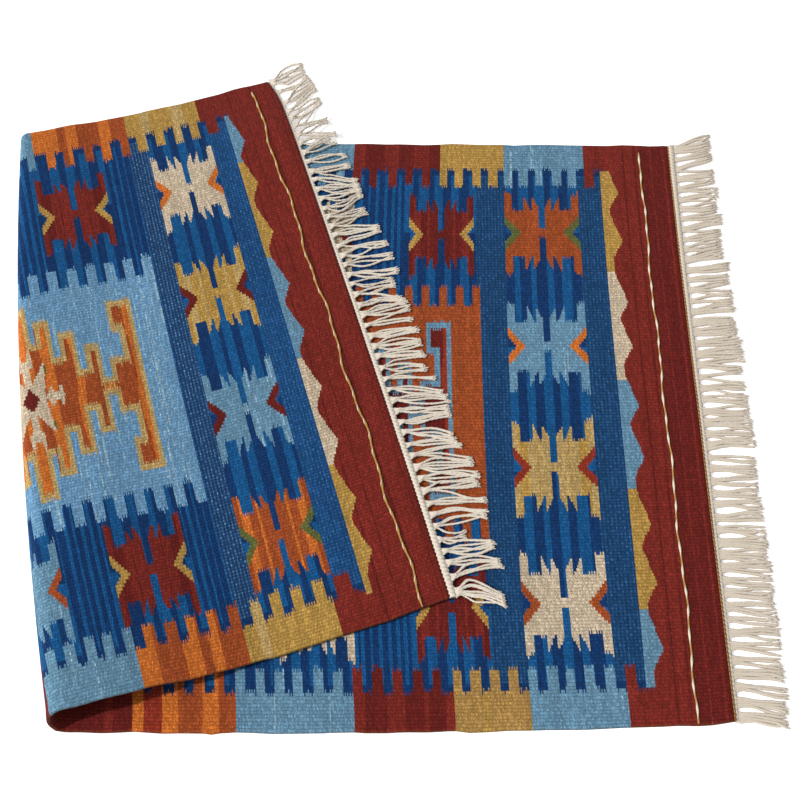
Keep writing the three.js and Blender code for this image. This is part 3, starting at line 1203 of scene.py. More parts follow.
class Shader:
    """Builds a material's nodes with short calls."""

    def __init__(self, name: str) -> None:
        """Starts an empty material.

        Args:
            name: The material's name.
        """
        self.material = bpy.data.materials.new(name)
        self.material.use_nodes = True
        self.tree = self.material.node_tree
        self.surface = self.tree.nodes["Principled BSDF"]

    def finish(self, **inputs: object) -> bpy.types.Material:
        """Feeds the surface's own sockets.

        Args:
            **inputs: The sockets' names with underscores for spaces, and what feeds them.

        Returns:
            The material.
        """
        for name, source in inputs.items():
            self.feed(self.surface.inputs[name.replace("_", " ")], source)
        return self.material

    def node(self, kind: str, **settings: object) -> bpy.types.ShaderNode:
        """Adds a node.

        Args:
            kind: The node's type.
            **settings: Properties to set on it.

        Returns:
            The new node.
        """
        made = self.tree.nodes.new(kind)
        for name, value in settings.items():
            setattr(made, name, value)
        return made

    def feed(self, socket: Socket, source: object) -> None:
        """Links a socket to an output, or sets its value.

        Args:
            socket: The input.
            source: An output socket, or a number, colour or vector.
        """
        if isinstance(source, Socket):
            self.tree.links.new(socket, source)
        else:
            socket.default_value = source

    def math(self, operation: str, *inputs: object) -> Socket:
        """Adds a Math node.

        Args:
            operation: What it does.
            *inputs: Its inputs, outputs of other nodes or numbers.

        Returns:
            Its output.
        """
        made = self.node("ShaderNodeMath", operation=operation)
        for socket, source in zip(made.inputs, inputs):
            self.feed(socket, source)
        return made.outputs[0]

    def scaled(self, source: object, factor: float, base: object = 0.0) -> Socket:
        """Multiplies a number by a factor and adds another to it."""
        return self.math("MULTIPLY_ADD", source, factor, base)

    def arch(self, share: Socket) -> Socket:
        """Turns a share from 0 to 1 into a round arch, 1 in the middle."""
        off = self.scaled(share, 2.0, -1.0)
        return self.math("SUBTRACT", 1.0, self.math("MULTIPLY", off, off))

    def every_second(self, number: Socket) -> Socket:
        """Gives 1 where a number is even, and 0 where it is odd."""
        return self.math("LESS_THAN", self.math("FLOORED_MODULO", number, 2.0), 0.5)

    def uv(self, name: str) -> tuple[Socket, Socket]:
        """Reads a UV map.

        Args:
            name: The map's name.

        Returns:
            Its two coordinates.
        """
        made = self.node("ShaderNodeSeparateXYZ")
        self.feed(made.inputs[0], self.node("ShaderNodeUVMap", uv_map=name).outputs["UV"])
        return made.outputs["X"], made.outputs["Y"]

    def toned(self, colour: object, tone: Socket) -> Socket:
        """Multiplies a colour by a number."""
        return self.mix(1.0, colour, self.combine(tone, tone, tone), "MULTIPLY")

    def noise(self, vector: object, scale: float, detail: float = 2.0) -> Socket:
        """Adds a Noise texture.

        Args:
            vector: The coordinates.
            scale: Its scale.
            detail: How many finer layers it has.

        Returns:
            The noise, about 0.5 in the middle.
        """
        made = self.node("ShaderNodeTexNoise")
        self.feed(made.inputs["Vector"], vector)
        made.inputs["Scale"].default_value = scale
        made.inputs["Detail"].default_value = detail
        return made.outputs["Fac"]

    def combine(self, x: object, y: object, z: object = 0.0) -> Socket:
        """Joins three numbers into a vector.

        Args:
            x: The first.
            y: The second.
            z: The third.

        Returns:
            The vector.
        """
        made = self.node("ShaderNodeCombineXYZ")
        for socket, source in zip(made.inputs, (x, y, z)):
            self.feed(socket, source)
        return made.outputs[0]

    def mix(self, share: object, first: object, second: object, blend: str = "MIX") -> Socket:
        """Mixes two colours.

        Args:
            share: How much of the second, from 0 to 1.
            first: The first colour.
            second: The second colour.
            blend: How they are mixed.

        Returns:
            The mixed colour.
        """
        made = self.node("ShaderNodeMix", data_type="RGBA", blend_type=blend)
        self.feed(made.inputs["Factor"], share)
        self.feed(made.inputs["A"], first)
        self.feed(made.inputs["B"], second)
        return made.outputs["Result"]

    def bump(self, height: object, depth: float) -> Socket:
        """Turns a relief into a normal.

        Args:
            height: The relief's height, about 0 to 1.
            depth: The height of 1, in metres.

        Returns:
            The normal.
        """
        made = self.node("ShaderNodeBump")
        made.inputs["Distance"].default_value = depth
        made.inputs["Strength"].default_value = 1.0
        self.feed(made.inputs["Height"], height)
        return made.outputs["Normal"]


@dataclass(frozen=True)
class WoolFinish:
    """Matt weft-faced wool: ribs along the rug, short floats of weft across them, uneven dye, and painted
    shade in the valleys between ribs and floats.
    """

    rib: float = RIB
    weft: float = 1.25
    slant: float = 0.35
    rib_relief: float = 0.6
    relief: float = 0.0004
    roughness: float = 0.95
    specular: float = 0.08
    sheen: float = 0.03
    sheen_roughness: float = 0.5
    fleck: Colour = linear(108, 142, 172)
    fleck_column: float = 1.5
    # Factors and what is added to them: the dye by height (painted shade in the valleys) and by float, the
    # flecks by float and by turn
    valley_shade_by_height: Span = (0.55, 0.66)
    by_float: Span = (0.5, 0.84)
    flecks_by_float: Span = (0.7, 0.25)
    flecks_by_turn: Span = (0.45, 0.55)
    # Layers of unevenness: length along the cloth, length across it, detail and depth
    layers: tuple[tuple[float, float, float, float], ...] = (
        (11.0, 140.0, 1.0, 0.4), (1.6, 60.0, 2.0, 0.5), (1.2, 1.3, 2.0, 1.9),
    )

    def build(self) -> bpy.types.Material:
        """Makes the material.

        Returns:
            The material.
        """
        s = Shader("wool_weave")
        along, across = (s.scaled(place, 1.0 / MM) for place in s.uv("weave"))
        rib = s.math("DIVIDE", across, self.rib)
        rib_number, rib_share = s.math("FLOOR", rib), s.math("FRACT", rib)
        lean = s.scaled(s.math("FLOORED_MODULO", rib_number, 2.0), 0.5, s.scaled(rib_share, self.slant))
        weft = s.math("ADD", s.math("DIVIDE", along, self.weft), lean)
        luck = s.node("ShaderNodeTexWhiteNoise", noise_dimensions="2D")
        s.feed(luck.inputs["Vector"], s.combine(rib_number, s.math("FLOOR", weft)))
        rib_height, weft_height = s.arch(rib_share), s.arch(s.math("FRACT", weft))
        height = s.scaled(rib_height, self.rib_relief, s.scaled(weft_height, 1.0 - self.rib_relief))

        dye = s.node("ShaderNodeAttribute", attribute_name="dye")
        flecks = self.flecks(s, along, rib_number, luck.outputs["Value"])
        flecks = s.math("MULTIPLY", dye.outputs["Alpha"], s.math("MULTIPLY", flecks, rib_height))
        colour = s.mix(flecks, dye.outputs["Color"], (*self.fleck, 1.0))
        tone = self.tone(s, along, across, luck.outputs["Value"])
        # Painted shade: the dye darkens by the weave's height, in the valleys between ribs and floats
        tone = s.math("MULTIPLY", tone, s.scaled(height, *self.valley_shade_by_height))
        return s.finish(
            Base_Color=s.toned(colour, tone),
            Roughness=self.roughness,
            Specular_IOR_Level=self.specular,
            Sheen_Weight=self.sheen,
            Sheen_Roughness=self.sheen_roughness,
            Normal=s.bump(height, self.relief),
        )

    def flecks(self, s: Shader, along: Socket, rib_number: Socket, luck: Socket) -> Socket:
        """Gives the share of the light yarn in the flecked stripes: dashes in columns, staggered.

        Args:
            s: The shader that takes the nodes.
            along: The distance along the cloth, in millimetres.
            rib_number: The rib's number.
            luck: Each float's own number, from 0 to 1.

        Returns:
            The share.
        """
        place = s.math("DIVIDE", along, self.fleck_column)
        column = s.math("FLOOR", place)
        light = s.math("MULTIPLY", s.every_second(column), s.arch(s.math("FRACT", place)))
        full = s.every_second(s.scaled(column, 0.5, rib_number))
        light = s.math("MULTIPLY", light, s.scaled(full, *self.flecks_by_turn))
        return s.math("MULTIPLY", light, s.scaled(luck, *self.flecks_by_float))

    def tone(self, s: Shader, along: Socket, across: Socket, luck: Socket) -> Socket:
        """Gives the unevenness of the dye: by lots of yarn, by picks, by floats and by fibres.

        Args:
            s: The shader that takes the nodes.
            along: The distance along the cloth, in millimetres.
            across: The distance across it.
            luck: Each float's own number, from 0 to 1.

        Returns:
            The factor on the dye, about 1.
        """
        tone = s.scaled(s.math("MULTIPLY", luck, luck), *self.by_float)
        for run, rise, detail, depth in self.layers:
            place = s.combine(s.math("DIVIDE", along, run), s.math("DIVIDE", across, rise))
            tone = s.math("MULTIPLY", tone, s.scaled(s.noise(place, 1.0, detail), depth, 1.0 - depth / 2.0))
        return tone


@dataclass(frozen=True)
class CottonFinish:
    """Undyed cotton, off-white, a little darker between its fibres."""

    name: str
    colour: Colour
    shade: Colour
    fibres: Span = (900.0, 3.0)
    patches: Span = (60.0, 2.0)
    roughness: float = 0.92
    specular: float = 0.15
    relief: float = 0.00012

    def build(self) -> bpy.types.Material:
        """Makes the material.

        Returns:
            The material.
        """
        s = Shader(self.name)
        where = s.node("ShaderNodeTexCoord").outputs["Object"]
        fine, wide = (s.noise(where, scale, detail) for scale, detail in (self.fibres, self.patches))
        share = s.scaled(s.math("ADD", fine, wide), 0.5)
        return s.finish(
            Base_Color=s.mix(share, (*self.colour, 1.0), (*self.shade, 1.0)),
            Roughness=self.roughness,
            Specular_IOR_Level=self.specular,
            Normal=s.bump(fine, self.relief),
        )


@dataclass(frozen=True)
class TwinedFinish:
    """Two yarns twined round each other, each on its own part of the cord's section; on the ochre chain the
    second colour is painted shade between the beads.
    """

    name: str
    first: Colour
    second: Colour
    second_share: float
    fuzz: Span = (700.0, 2.0)
    by_fuzz: Span = (0.5, 0.75)
    roughness: float = 0.9
    specular: float = 0.15
    relief: float = 0.0001

    def build(self) -> bpy.types.Material:
        """Makes the material.

        Returns:
            The material.
        """
        s = Shader(self.name)
        _, turned = s.uv("UVMap")
        is_second = s.math("LESS_THAN", turned, self.second_share)
        colour = s.mix(is_second, (*self.first, 1.0), (*self.second, 1.0))
        fuzz = s.noise(s.node("ShaderNodeTexCoord").outputs["Object"], *self.fuzz)
        return s.finish(
            Base_Color=s.toned(colour, s.scaled(fuzz, *self.by_fuzz)),
            Roughness=self.roughness,
            Specular_IOR_Level=self.specular,
            Normal=s.bump(fuzz, self.relief),
        )


@dataclass(frozen=True)
class Strand:
    """One yarn or cord: its path, and its radius and its twist at each point of it."""

    path: np.ndarray
    radii: np.ndarray
    twist: np.ndarray


@dataclass(frozen=True)
class Spinner:
    """Turns strands into a mesh, with a section of two lobes that turns along each strand."""

    sides: int = 6
    lobe: float = 0.13

    def section(self) -> bpy.types.Object:
        """Makes the section as a closed curve of radius 1.

        Returns:
            The curve's object.
        """
        curve = bpy.data.curves.new("section", "CURVE")
        curve.dimensions = "2D"
        spline = curve.splines.new("POLY")
        spline.points.add(self.sides - 1)
        for k, point in enumerate(spline.points):
            angle = math.tau * k / self.sides
            radius = 1.0 + self.lobe * math.cos(2.0 * angle)
            point.co = (radius * math.cos(angle), radius * math.sin(angle), 0.0, 1.0)
        spline.use_cyclic_u = True
        return added("section", curve)

    def spin(self, strands: list[Strand]) -> bpy.types.Mesh:
        """Makes one mesh of all the strands.

        Args:
            strands: The strands.

        Returns:
            The mesh, in the strands' own unit.
        """
        section = self.section()
        curve = bpy.data.curves.new("strands", "CURVE")
        curve.dimensions = "3D"
        curve.twist_mode = "Z_UP"
        curve.bevel_mode = "OBJECT"
        curve.bevel_object = section
        curve.use_fill_caps = True
        for strand in strands:
            spline = curve.splines.new("POLY")
            spline.points.add(len(strand.path) - 1)
            flat = np.concatenate([strand.path, np.ones((len(strand.path), 1))], axis=1)
            spline.points.foreach_set("co", flat.ravel())
            spline.points.foreach_set("radius", strand.radii)
            spline.points.foreach_set("tilt", strand.twist)
            spline.use_smooth = True
        holder = added("strands", curve)
        bpy.context.view_layer.update()
        graph = bpy.context.evaluated_depsgraph_get()
        data = bpy.data.meshes.new_from_object(holder.evaluated_get(graph), depsgraph=graph)
        for leftover in (holder, section):
            bpy.data.objects.remove(leftover)
        return data


def points_of(data: bpy.types.Mesh) -> np.ndarray:
    """Reads a mesh's points.

    Args:
        data: The mesh.

    Returns:
        One row of x, y and z for each point.
    """
    points = np.empty(len(data.vertices) * 3)
    data.vertices.foreach_get("co", points)
    return points.reshape(-1, 3)


def placed(name: str, data: bpy.types.Mesh, points: np.ndarray) -> bpy.types.Object:
    """Moves a mesh's points and makes it an object at the origin.

    Args:
        name: The object's name.
        data: The mesh.
        points: The new places of its points, in metres.

    Returns:
        The object.
    """
    data.vertices.foreach_set("co", points.ravel())
    data.update()
    data.name = name
    return added(name, data)


@dataclass(frozen=True)
class Frays:
    """The loose fibres at a cord's tip."""

    count: int
    radius: float
    length: float = 3.0
    reach: Span = (0.35, 1.1)
    inside: float = 1.2
    tip_points: int = 4
    pitch: float = 0.5
    wander: float = 0.15
    width: float = 0.8
    flare: float = 1.1
    uneven_lift: float = 0.4
    sag: float = 0.3
    taper: tuple[float, ...] = (1.0, 0.95, 0.8, 0.45)

    def lay(self, path: np.ndarray, luck: np.random.Generator) -> list[Strand]:
        """Lays the fibres.

        Args:
            path: The cord's path.
            luck: The source of their small differences.

        Returns:
            The fibres.
        """
        ahead = path[-1] - path[-self.tip_points]
        ahead[2] = 0.0
        ahead = ahead / np.linalg.norm(ahead)
        aside = np.array([-ahead[1], ahead[0], 0.0])
        steps = np.linspace(0.0, 1.0, len(self.taper))[:, None]
        made = []
        for number in range(self.count):
            out = (number - (self.count - 1) / 2.0) * self.pitch + luck.normal(0.0, self.wander)
            reach = self.length * luck.uniform(*self.reach)
            fibre = path[-1] - ahead * self.inside + aside * out * self.width
            fibre = fibre + ahead * (reach + self.inside) * steps + aside * out * self.flare * steps**2
            fibre[:, 2] += luck.normal(0.0, self.uneven_lift) * steps[:, 0] - self.sag * steps[:, 0]
            made.append(Strand(fibre, self.radius * np.array(self.taper), 0.0 * steps[:, 0]))
        return made


class End(Enum):
    """The two ends of the rug."""

    UNDERNEATH = "underneath"
    ON_TOP = "on_top"


@dataclass(frozen=True)
class CordRow:
    """How the cords lie at one share of the width."""

    across: float
    lean: float
    length: float


@dataclass(frozen=True)
class Bunch:
    """Neighbouring cords whose tips lie together, and how they lie."""

    cords: int
    lean: float
    length: float
    tip_pitch: float
    swing: float = 0.0


@dataclass(frozen=True)
class CordStyle:
    """How the heading and the cords of one end are made and lie."""

    heading_radii: tuple[float, float, float]
    heading_flatness: float
    heading_lobe: float
    crowding: float
    corner_cords: tuple[int, int]
    knot_pitch: float
    knot_swell: float
    spread_by: float
    lobe: float
    rows: tuple[CordRow, ...]
    first: tuple[Bunch, ...]
    last: tuple[Bunch, ...]
    sizes: tuple[int, ...]
    middle_pitch: float
    tip_pitch: Span
    bend: float
    crossing: float
    lean_spread: float
    unevenness: float
    lift: float
    radius: float
    frays: Frays
    tip_swell: float
    seed: int


STYLES = {
    End.UNDERNEATH: CordStyle(
        heading_radii=(3.0, 2.4, 1.9),
        heading_flatness=0.55,
        heading_lobe=0.08,
        crowding=2.0,
        corner_cords=(7, 5),
        knot_pitch=1.6,
        knot_swell=0.0,
        spread_by=0.8,
        lobe=0.06,
        rows=(
            CordRow(0.0, 16.0, 36.0),
            CordRow(0.08, 10.0, 36.0),
            CordRow(0.2, 8.0, 37.0),
            CordRow(0.5, 1.0, 39.0),
            CordRow(0.85, -3.0, 39.0),
            CordRow(1.0, -6.0, 38.5),
        ),
        first=(Bunch(13, 17.0, 37.0, 2.7), Bunch(7, 9.0, 36.0, 2.7)),
        last=(),
        sizes=(3, 4, 4, 5, 6, 8, 9),
        middle_pitch=2.65,
        tip_pitch=(2.65, 3.0),
        bend=0.7,
        crossing=0.6,
        lean_spread=2.2,
        unevenness=1.2,
        lift=0.7,
        radius=1.4,
        frays=Frays(3, 0.8),
        tip_swell=-0.2,
        seed=11,
    ),
    End.ON_TOP: CordStyle(
        heading_radii=(1.5, 2.4, 3.2),
        heading_flatness=0.5,
        heading_lobe=0.2,
        crowding=3.5,
        corner_cords=(7, 8),
        knot_pitch=0.75,
        knot_swell=0.12,
        spread_by=0.42,
        lobe=0.13,
        rows=(
            CordRow(0.0, 20.0, 34.0),
            CordRow(0.3, -1.0, 37.0),
            CordRow(0.34, -4.0, 44.0),
            CordRow(0.4, -5.0, 44.0),
            CordRow(0.46, -6.0, 41.0),
            CordRow(0.55, -8.0, 41.0),
            CordRow(0.65, -10.0, 45.0),
            CordRow(0.75, -12.0, 48.0),
            CordRow(0.85, -12.0, 50.0),
            CordRow(1.0, -12.0, 48.0),
        ),
        first=(
            Bunch(17, 20.0, 38.0, 2.45), Bunch(7, 27.0, 38.0, 1.5, -2.0), Bunch(4, 8.0, 34.0, 2.2),
            Bunch(3, -9.0, 37.0, 2.0), Bunch(5, 9.0, 29.0, 1.8), Bunch(2, 5.0, 33.0, 2.0),
            Bunch(3, -5.0, 37.0, 1.8), Bunch(4, -3.0, 37.0, 1.8), Bunch(16, -5.0, 39.0, 1.6, -2.0),
            Bunch(6, 5.0, 36.0, 1.6), Bunch(6, -3.0, 43.0, 1.6), Bunch(4, -1.0, 45.0, 1.6),
        ),
        last=(
            Bunch(6, -8.0, 46.0, 1.4, 3.0), Bunch(4, -14.0, 24.0, 2.6, -3.0), Bunch(6, -7.0, 44.0, 1.4, -2.0),
            Bunch(7, -6.0, 44.0, 1.3, 2.0), Bunch(8, -24.0, 40.0, 1.9, 5.0),
        ),
        sizes=(2, 3, 3, 4, 4, 5, 6),
        middle_pitch=3.0,
        tip_pitch=(1.7, 2.6),
        bend=1.5,
        crossing=1.3,
        lean_spread=3.5,
        unevenness=2.2,
        lift=1.9,
        radius=1.12,
        frays=Frays(4, 0.68),
        tip_swell=0.15,
        seed=29,
    ),
}


@dataclass(frozen=True)
class Root:
    """Where a cord starts: its knot's place across the cloth, its own place in it and the pitch there."""

    knot: float
    place: float
    pitch: float


@dataclass(frozen=True)
class Fringe:
    """The white heading and the knotted cords at one end of the rug."""

    form: FoldedForm
    end: End
    clearance: float = 0.1
    # How far past the cloth's end the cords sink from the layer on top to what lies under them
    sinking: Span = (2.0, 18.0)
    heading_pitch: float = 8.0
    heading_past: float = 0.6
    heading_points: int = 601
    heading_sides: int = 12
    heading_seat: float = 1.15
    # Unevenness of the heading: each wave's height and length
    heading_waves: tuple[Span, ...] = ((0.05, 17.0), (0.04, 5.3))
    knots: int = 50
    knot_sizes: tuple[int, ...] = (3, 4, 4, 4, 5)
    knot_wander: float = 0.6
    knot_width: float = 9.5
    # Shares of a cord's length: where its knot is, how far that spreads, and how early its cords part
    knot_share: float = 0.12
    knot_spread: float = 0.06
    knot_lead: float = 0.03
    knot_lift: float = 1.3
    root_pitch: float = 2.1
    root_seat: float = 1.6
    crowded_side: float = 40.0
    bunch_wander: float = 0.5
    twist_pitch: float = 9.0
    steps: int = 24
    length_uneven: float = 0.7
    # Shares of a cord's length: how early its tip draws towards the bunch's, and where that ends
    gather: Span = (0.04, 1.05)
    swing: Span = (0.75, 0.25)
    second_bend: float = 0.5
    arch_lean: float = 0.8
    tip_lift: float = 0.6
    tip_lift_from: float = 0.5
    tip_swell_from: float = 0.86
    radius_luck: Span = (0.9, 1.08)

    def rest(self, flat: np.ndarray) -> np.ndarray:
        """Carries places on the flat fringe to the folded rug.

        Args:
            flat: One row for each place: past the cloth's end, across it, and above what it lies on.

        Returns:
            One row of x, y and z for each place, in metres.
        """
        past, across, lift = flat.T
        along = -past if self.end is End.UNDERNEATH else self.form.length + past
        points = self.form.middle(along, across)
        under = points[..., 2] - self.form.thickness / 2.0
        drop = np.minimum(under, self.form.layer_gap) * ramp(past, *self.sinking)
        points[..., 2] = under - drop + np.maximum(lift, self.clearance)
        return points * MM + np.array(self.form.shift)

    def heading(self) -> Strand:
        """Lays the thick twined row beside the cloth's end.

        Returns:
            The row.
        """
        across = np.linspace(-self.heading_past, self.form.width + self.heading_past, self.heading_points)
        radii = self.heading_radius(across)
        path = np.stack([radii - self.clearance, across, 0.0 * across], axis=1)
        swell = waves(1.0, across, self.heading_waves)
        return Strand(path, radii * swell, math.tau * across / self.heading_pitch)

    def heading_radius(self, across: np.ndarray | float) -> np.ndarray:
        """Gives the heading's radius, which changes from the far side to the near one."""
        radii = STYLES[self.end].heading_radii
        return np.interp(across, np.linspace(0.0, self.form.width, len(radii)), radii)

    def crowded(self, across: np.ndarray) -> np.ndarray:
        """Draws the places near the two selvedges closer to them.

        Args:
            across: Places across the cloth.

        Returns:
            The same places, moved.
        """
        far = ramp(-across, -self.crowded_side, 0.0)
        near = ramp(across, self.form.width - self.crowded_side, self.form.width)
        return across + STYLES[self.end].crowding * (near - far)

    def row(self, share: float) -> CordRow:
        """Reads the table of cords at a share of the width.

        Args:
            share: The share, 0 at the far selvedge.

        Returns:
            How the cords lie there.
        """
        shares, *columns = zip(*((row.across, row.lean, row.length) for row in STYLES[self.end].rows))
        lean, length = (float(np.interp(share, shares, column)) for column in columns)
        return CordRow(share, lean, length)

    def bunches(self, count: int, luck: np.random.Generator) -> list[Bunch]:
        """Chooses the bunches, from the far side to the near one.

        Args:
            count: How many cords there are.
            luck: The source of their differences.

        Returns:
            Bunches that use every cord.
        """
        style = STYLES[self.end]
        chosen = list(style.first)
        used = sum(bunch.cords for bunch in chosen)
        stop = count - sum(bunch.cords for bunch in style.last)
        while used < stop:
            size = min(int(luck.choice(style.sizes)), stop - used)
            row = self.row((used + size / 2.0) / count)
            lean = row.lean + luck.normal(0.0, style.lean_spread)
            length = row.length + luck.normal(0.0, style.unevenness)
            chosen.append(Bunch(size, lean, length, float(luck.uniform(*style.tip_pitch))))
            used += size
        return chosen + list(style.last)

    def roots(self, luck: np.random.Generator) -> list[Root]:
        """Ties the cords into knots along the heading.

        Args:
            luck: The source of their differences.

        Returns:
            Where each cord starts.
        """
        middles = self.crowded((np.arange(self.knots) + 0.5) * self.form.width / self.knots)
        counts = luck.choice(self.knot_sizes, self.knots)
        counts[0], counts[-1] = STYLES[self.end].corner_cords
        made = []
        for middle, count in zip(middles + luck.normal(0.0, self.knot_wander, self.knots), counts):
            pitch = min(self.root_pitch, self.knot_width / count)
            made += [Root(middle, place, pitch) for place in np.arange(count) - (count - 1) / 2.0]
        return made

    def cords(self) -> list[Strand]:
        """Lays the cords of every bunch, with their frayed tips.

        Returns:
            The cords and their frays.
        """
        style = STYLES[self.end]
        luck = np.random.default_rng(style.seed)
        roots = self.roots(luck)
        made: list[Strand] = []
        for bunch in self.bunches(len(roots), luck):
            here, roots = roots[: bunch.cords], roots[bunch.cords :]
            order = np.arange(len(here)) - (len(here) - 1) / 2.0
            slots = np.argsort(np.argsort(order + luck.normal(0.0, style.crossing, len(here)))) + order[0]
            centre = float(np.mean([root.knot for root in here])) + luck.normal(0.0, self.bunch_wander)
            for root, place, slot in zip(here, order, slots):
                middle, tip = centre + place * style.middle_pitch, centre + slot * bunch.tip_pitch
                made += self.cord(root, middle, tip, bunch, luck)
        return made

    def cord(
        self, root: Root, middle: float, tip: float, bunch: Bunch, luck: np.random.Generator
    ) -> list[Strand]:
        """Lays one cord and the frays at its tip.

        Args:
            root: Where it starts.
            middle: Where its middle lies across the cloth, before the bunch leans.
            tip: Where its tip lies, before the bunch leans.
            bunch: The bunch that it belongs to.
            luck: The source of its small differences.

        Returns:
            The cord and its frays.
        """
        style = STYLES[self.end]
        share = np.linspace(0.0, 1.0, self.steps)
        free = np.clip((share - self.knot_share) / (1.0 - self.knot_share), 0.0, 1.0)
        lean = math.radians(bunch.lean)
        length = bunch.length + luck.normal(0.0, self.length_uneven)
        start = self.root_seat * float(self.heading_radius(root.knot))
        past = start + length * (share - free * (1.0 - math.cos(lean)))
        across = self.spread(share, root, middle, tip) - math.sin(lean) * length * free
        bend = luck.normal(0.0, style.bend, 2)
        always, sometimes = self.swing
        bend[0] -= bunch.swing * (always + sometimes * luck.random())
        bend[1] *= self.second_bend
        across = across + bend[0] * np.sin(math.pi * free) + bend[1] * np.sin(2.0 * math.pi * free)
        arch = style.lift * luck.random() * np.sin(math.pi * share**self.arch_lean)
        high = arch + self.tip_lift * luck.random() * ramp(share, self.tip_lift_from, 1.0)
        tied = np.exp(-(((share - self.knot_share) / self.knot_spread) ** 2))
        knot = tied * luck.uniform(0.0, self.knot_lift) * (style.knot_swell > 0.0)
        path = np.stack([past, across, style.radius + self.clearance + high + knot], axis=1)
        turn = math.tau * length * share / self.twist_pitch + luck.uniform(0.0, math.tau)
        swell = 1.0 + style.knot_swell * tied + style.tip_swell * ramp(share, self.tip_swell_from, 1.0)
        radii = style.radius * luck.uniform(*self.radius_luck) * swell
        return [Strand(path, radii, turn), *style.frays.lay(path, luck)]

    def spread(self, share: np.ndarray, root: Root, middle: float, tip: float) -> np.ndarray:
        """Draws a cord into its knot, then towards its middle, then towards its tip.

        Args:
            share: Shares of the cord's length.
            root: Where it starts.
            middle: Where its middle lies across the cloth.
            tip: Where its tip lies.

        Returns:
            Its place across the cloth at each share.
        """
        style = STYLES[self.end]
        knot_pitch = min(style.knot_pitch, root.pitch)
        pitch = root.pitch + (knot_pitch - root.pitch) * ramp(share, 0.0, self.knot_share)
        across = root.knot + root.place * pitch
        apart = ramp(share, self.knot_share - self.knot_lead, style.spread_by)
        across = across + (middle - root.knot - root.place * knot_pitch) * apart
        early, end = self.gather
        return across + (tip - middle) * ramp(share, style.spread_by - early, end)

    def build(self) -> bpy.types.Object:
        """Makes the fringe as one mesh.

        Returns:
            The fringe's object.
        """
        style = STYLES[self.end]
        heading = Spinner(self.heading_sides, style.heading_lobe).spin([self.heading()])
        flat = points_of(heading)
        seat = self.heading_radius(flat[:, 1]) * self.heading_seat
        flat[:, 2] = (flat[:, 2] + seat) * style.heading_flatness
        heading.vertices.foreach_set("co", flat.ravel())
        cords = Spinner(lobe=style.lobe).spin(self.cords())
        whole = bmesh.new()
        for data in (heading, cords):
            whole.from_mesh(data)
        whole.to_mesh(cords)
        whole.free()
        return placed(f"fringe_{self.end.value}_cords", cords, self.rest(points_of(cords)))


@dataclass(frozen=True)
class TwinedLine:
    """The raised line of twined yarn that runs across the rug near one end."""

    form: FoldedForm
    end: End
    along: float
    finish: TwinedFinish
    pitch: float
    sway: float
    radius: float
    start: float = 10.0
    stop: float = 599.0
    swell: float = 0.16
    height: float = 1.0
    rise: float = 0.3
    longest_step: float = 0.65
    steps_in_turn: float = 7.0
    sides: int = 8
    lobe: float = 0.1
    # Each wave's height and length: of its place along the rug, and of its turn
    sway_waves: tuple[Span, ...] = ((1.0, 21.0), (0.5, 7.3))
    turn_waves: tuple[Span, ...] = ((0.7, 37.0), (0.5, 13.0))

    def build(self) -> bpy.types.Object:
        """Makes the line as a mesh lying on the cloth.

        Returns:
            The line's object.
        """
        step = min(self.longest_step, self.pitch / self.steps_in_turn)
        across = np.linspace(self.start, self.stop, round((self.stop - self.start) / step))
        sway = self.sway * waves(0.0, across, self.sway_waves)
        turn = waves(math.tau * across / self.pitch, across, self.turn_waves)
        swell = 1.0 - self.swell + self.swell * np.cos(turn)
        upper = 1.0 if self.end is End.UNDERNEATH else -1.0
        lift = upper * (self.height * self.form.thickness / 2.0 + self.rise * self.radius * swell)
        path = self.form.place(self.along + sway, across, lift)
        data = Spinner(self.sides, self.lobe).spin([Strand(path, self.radius * MM * swell, turn)])
        return placed(self.finish.name, data, points_of(data))


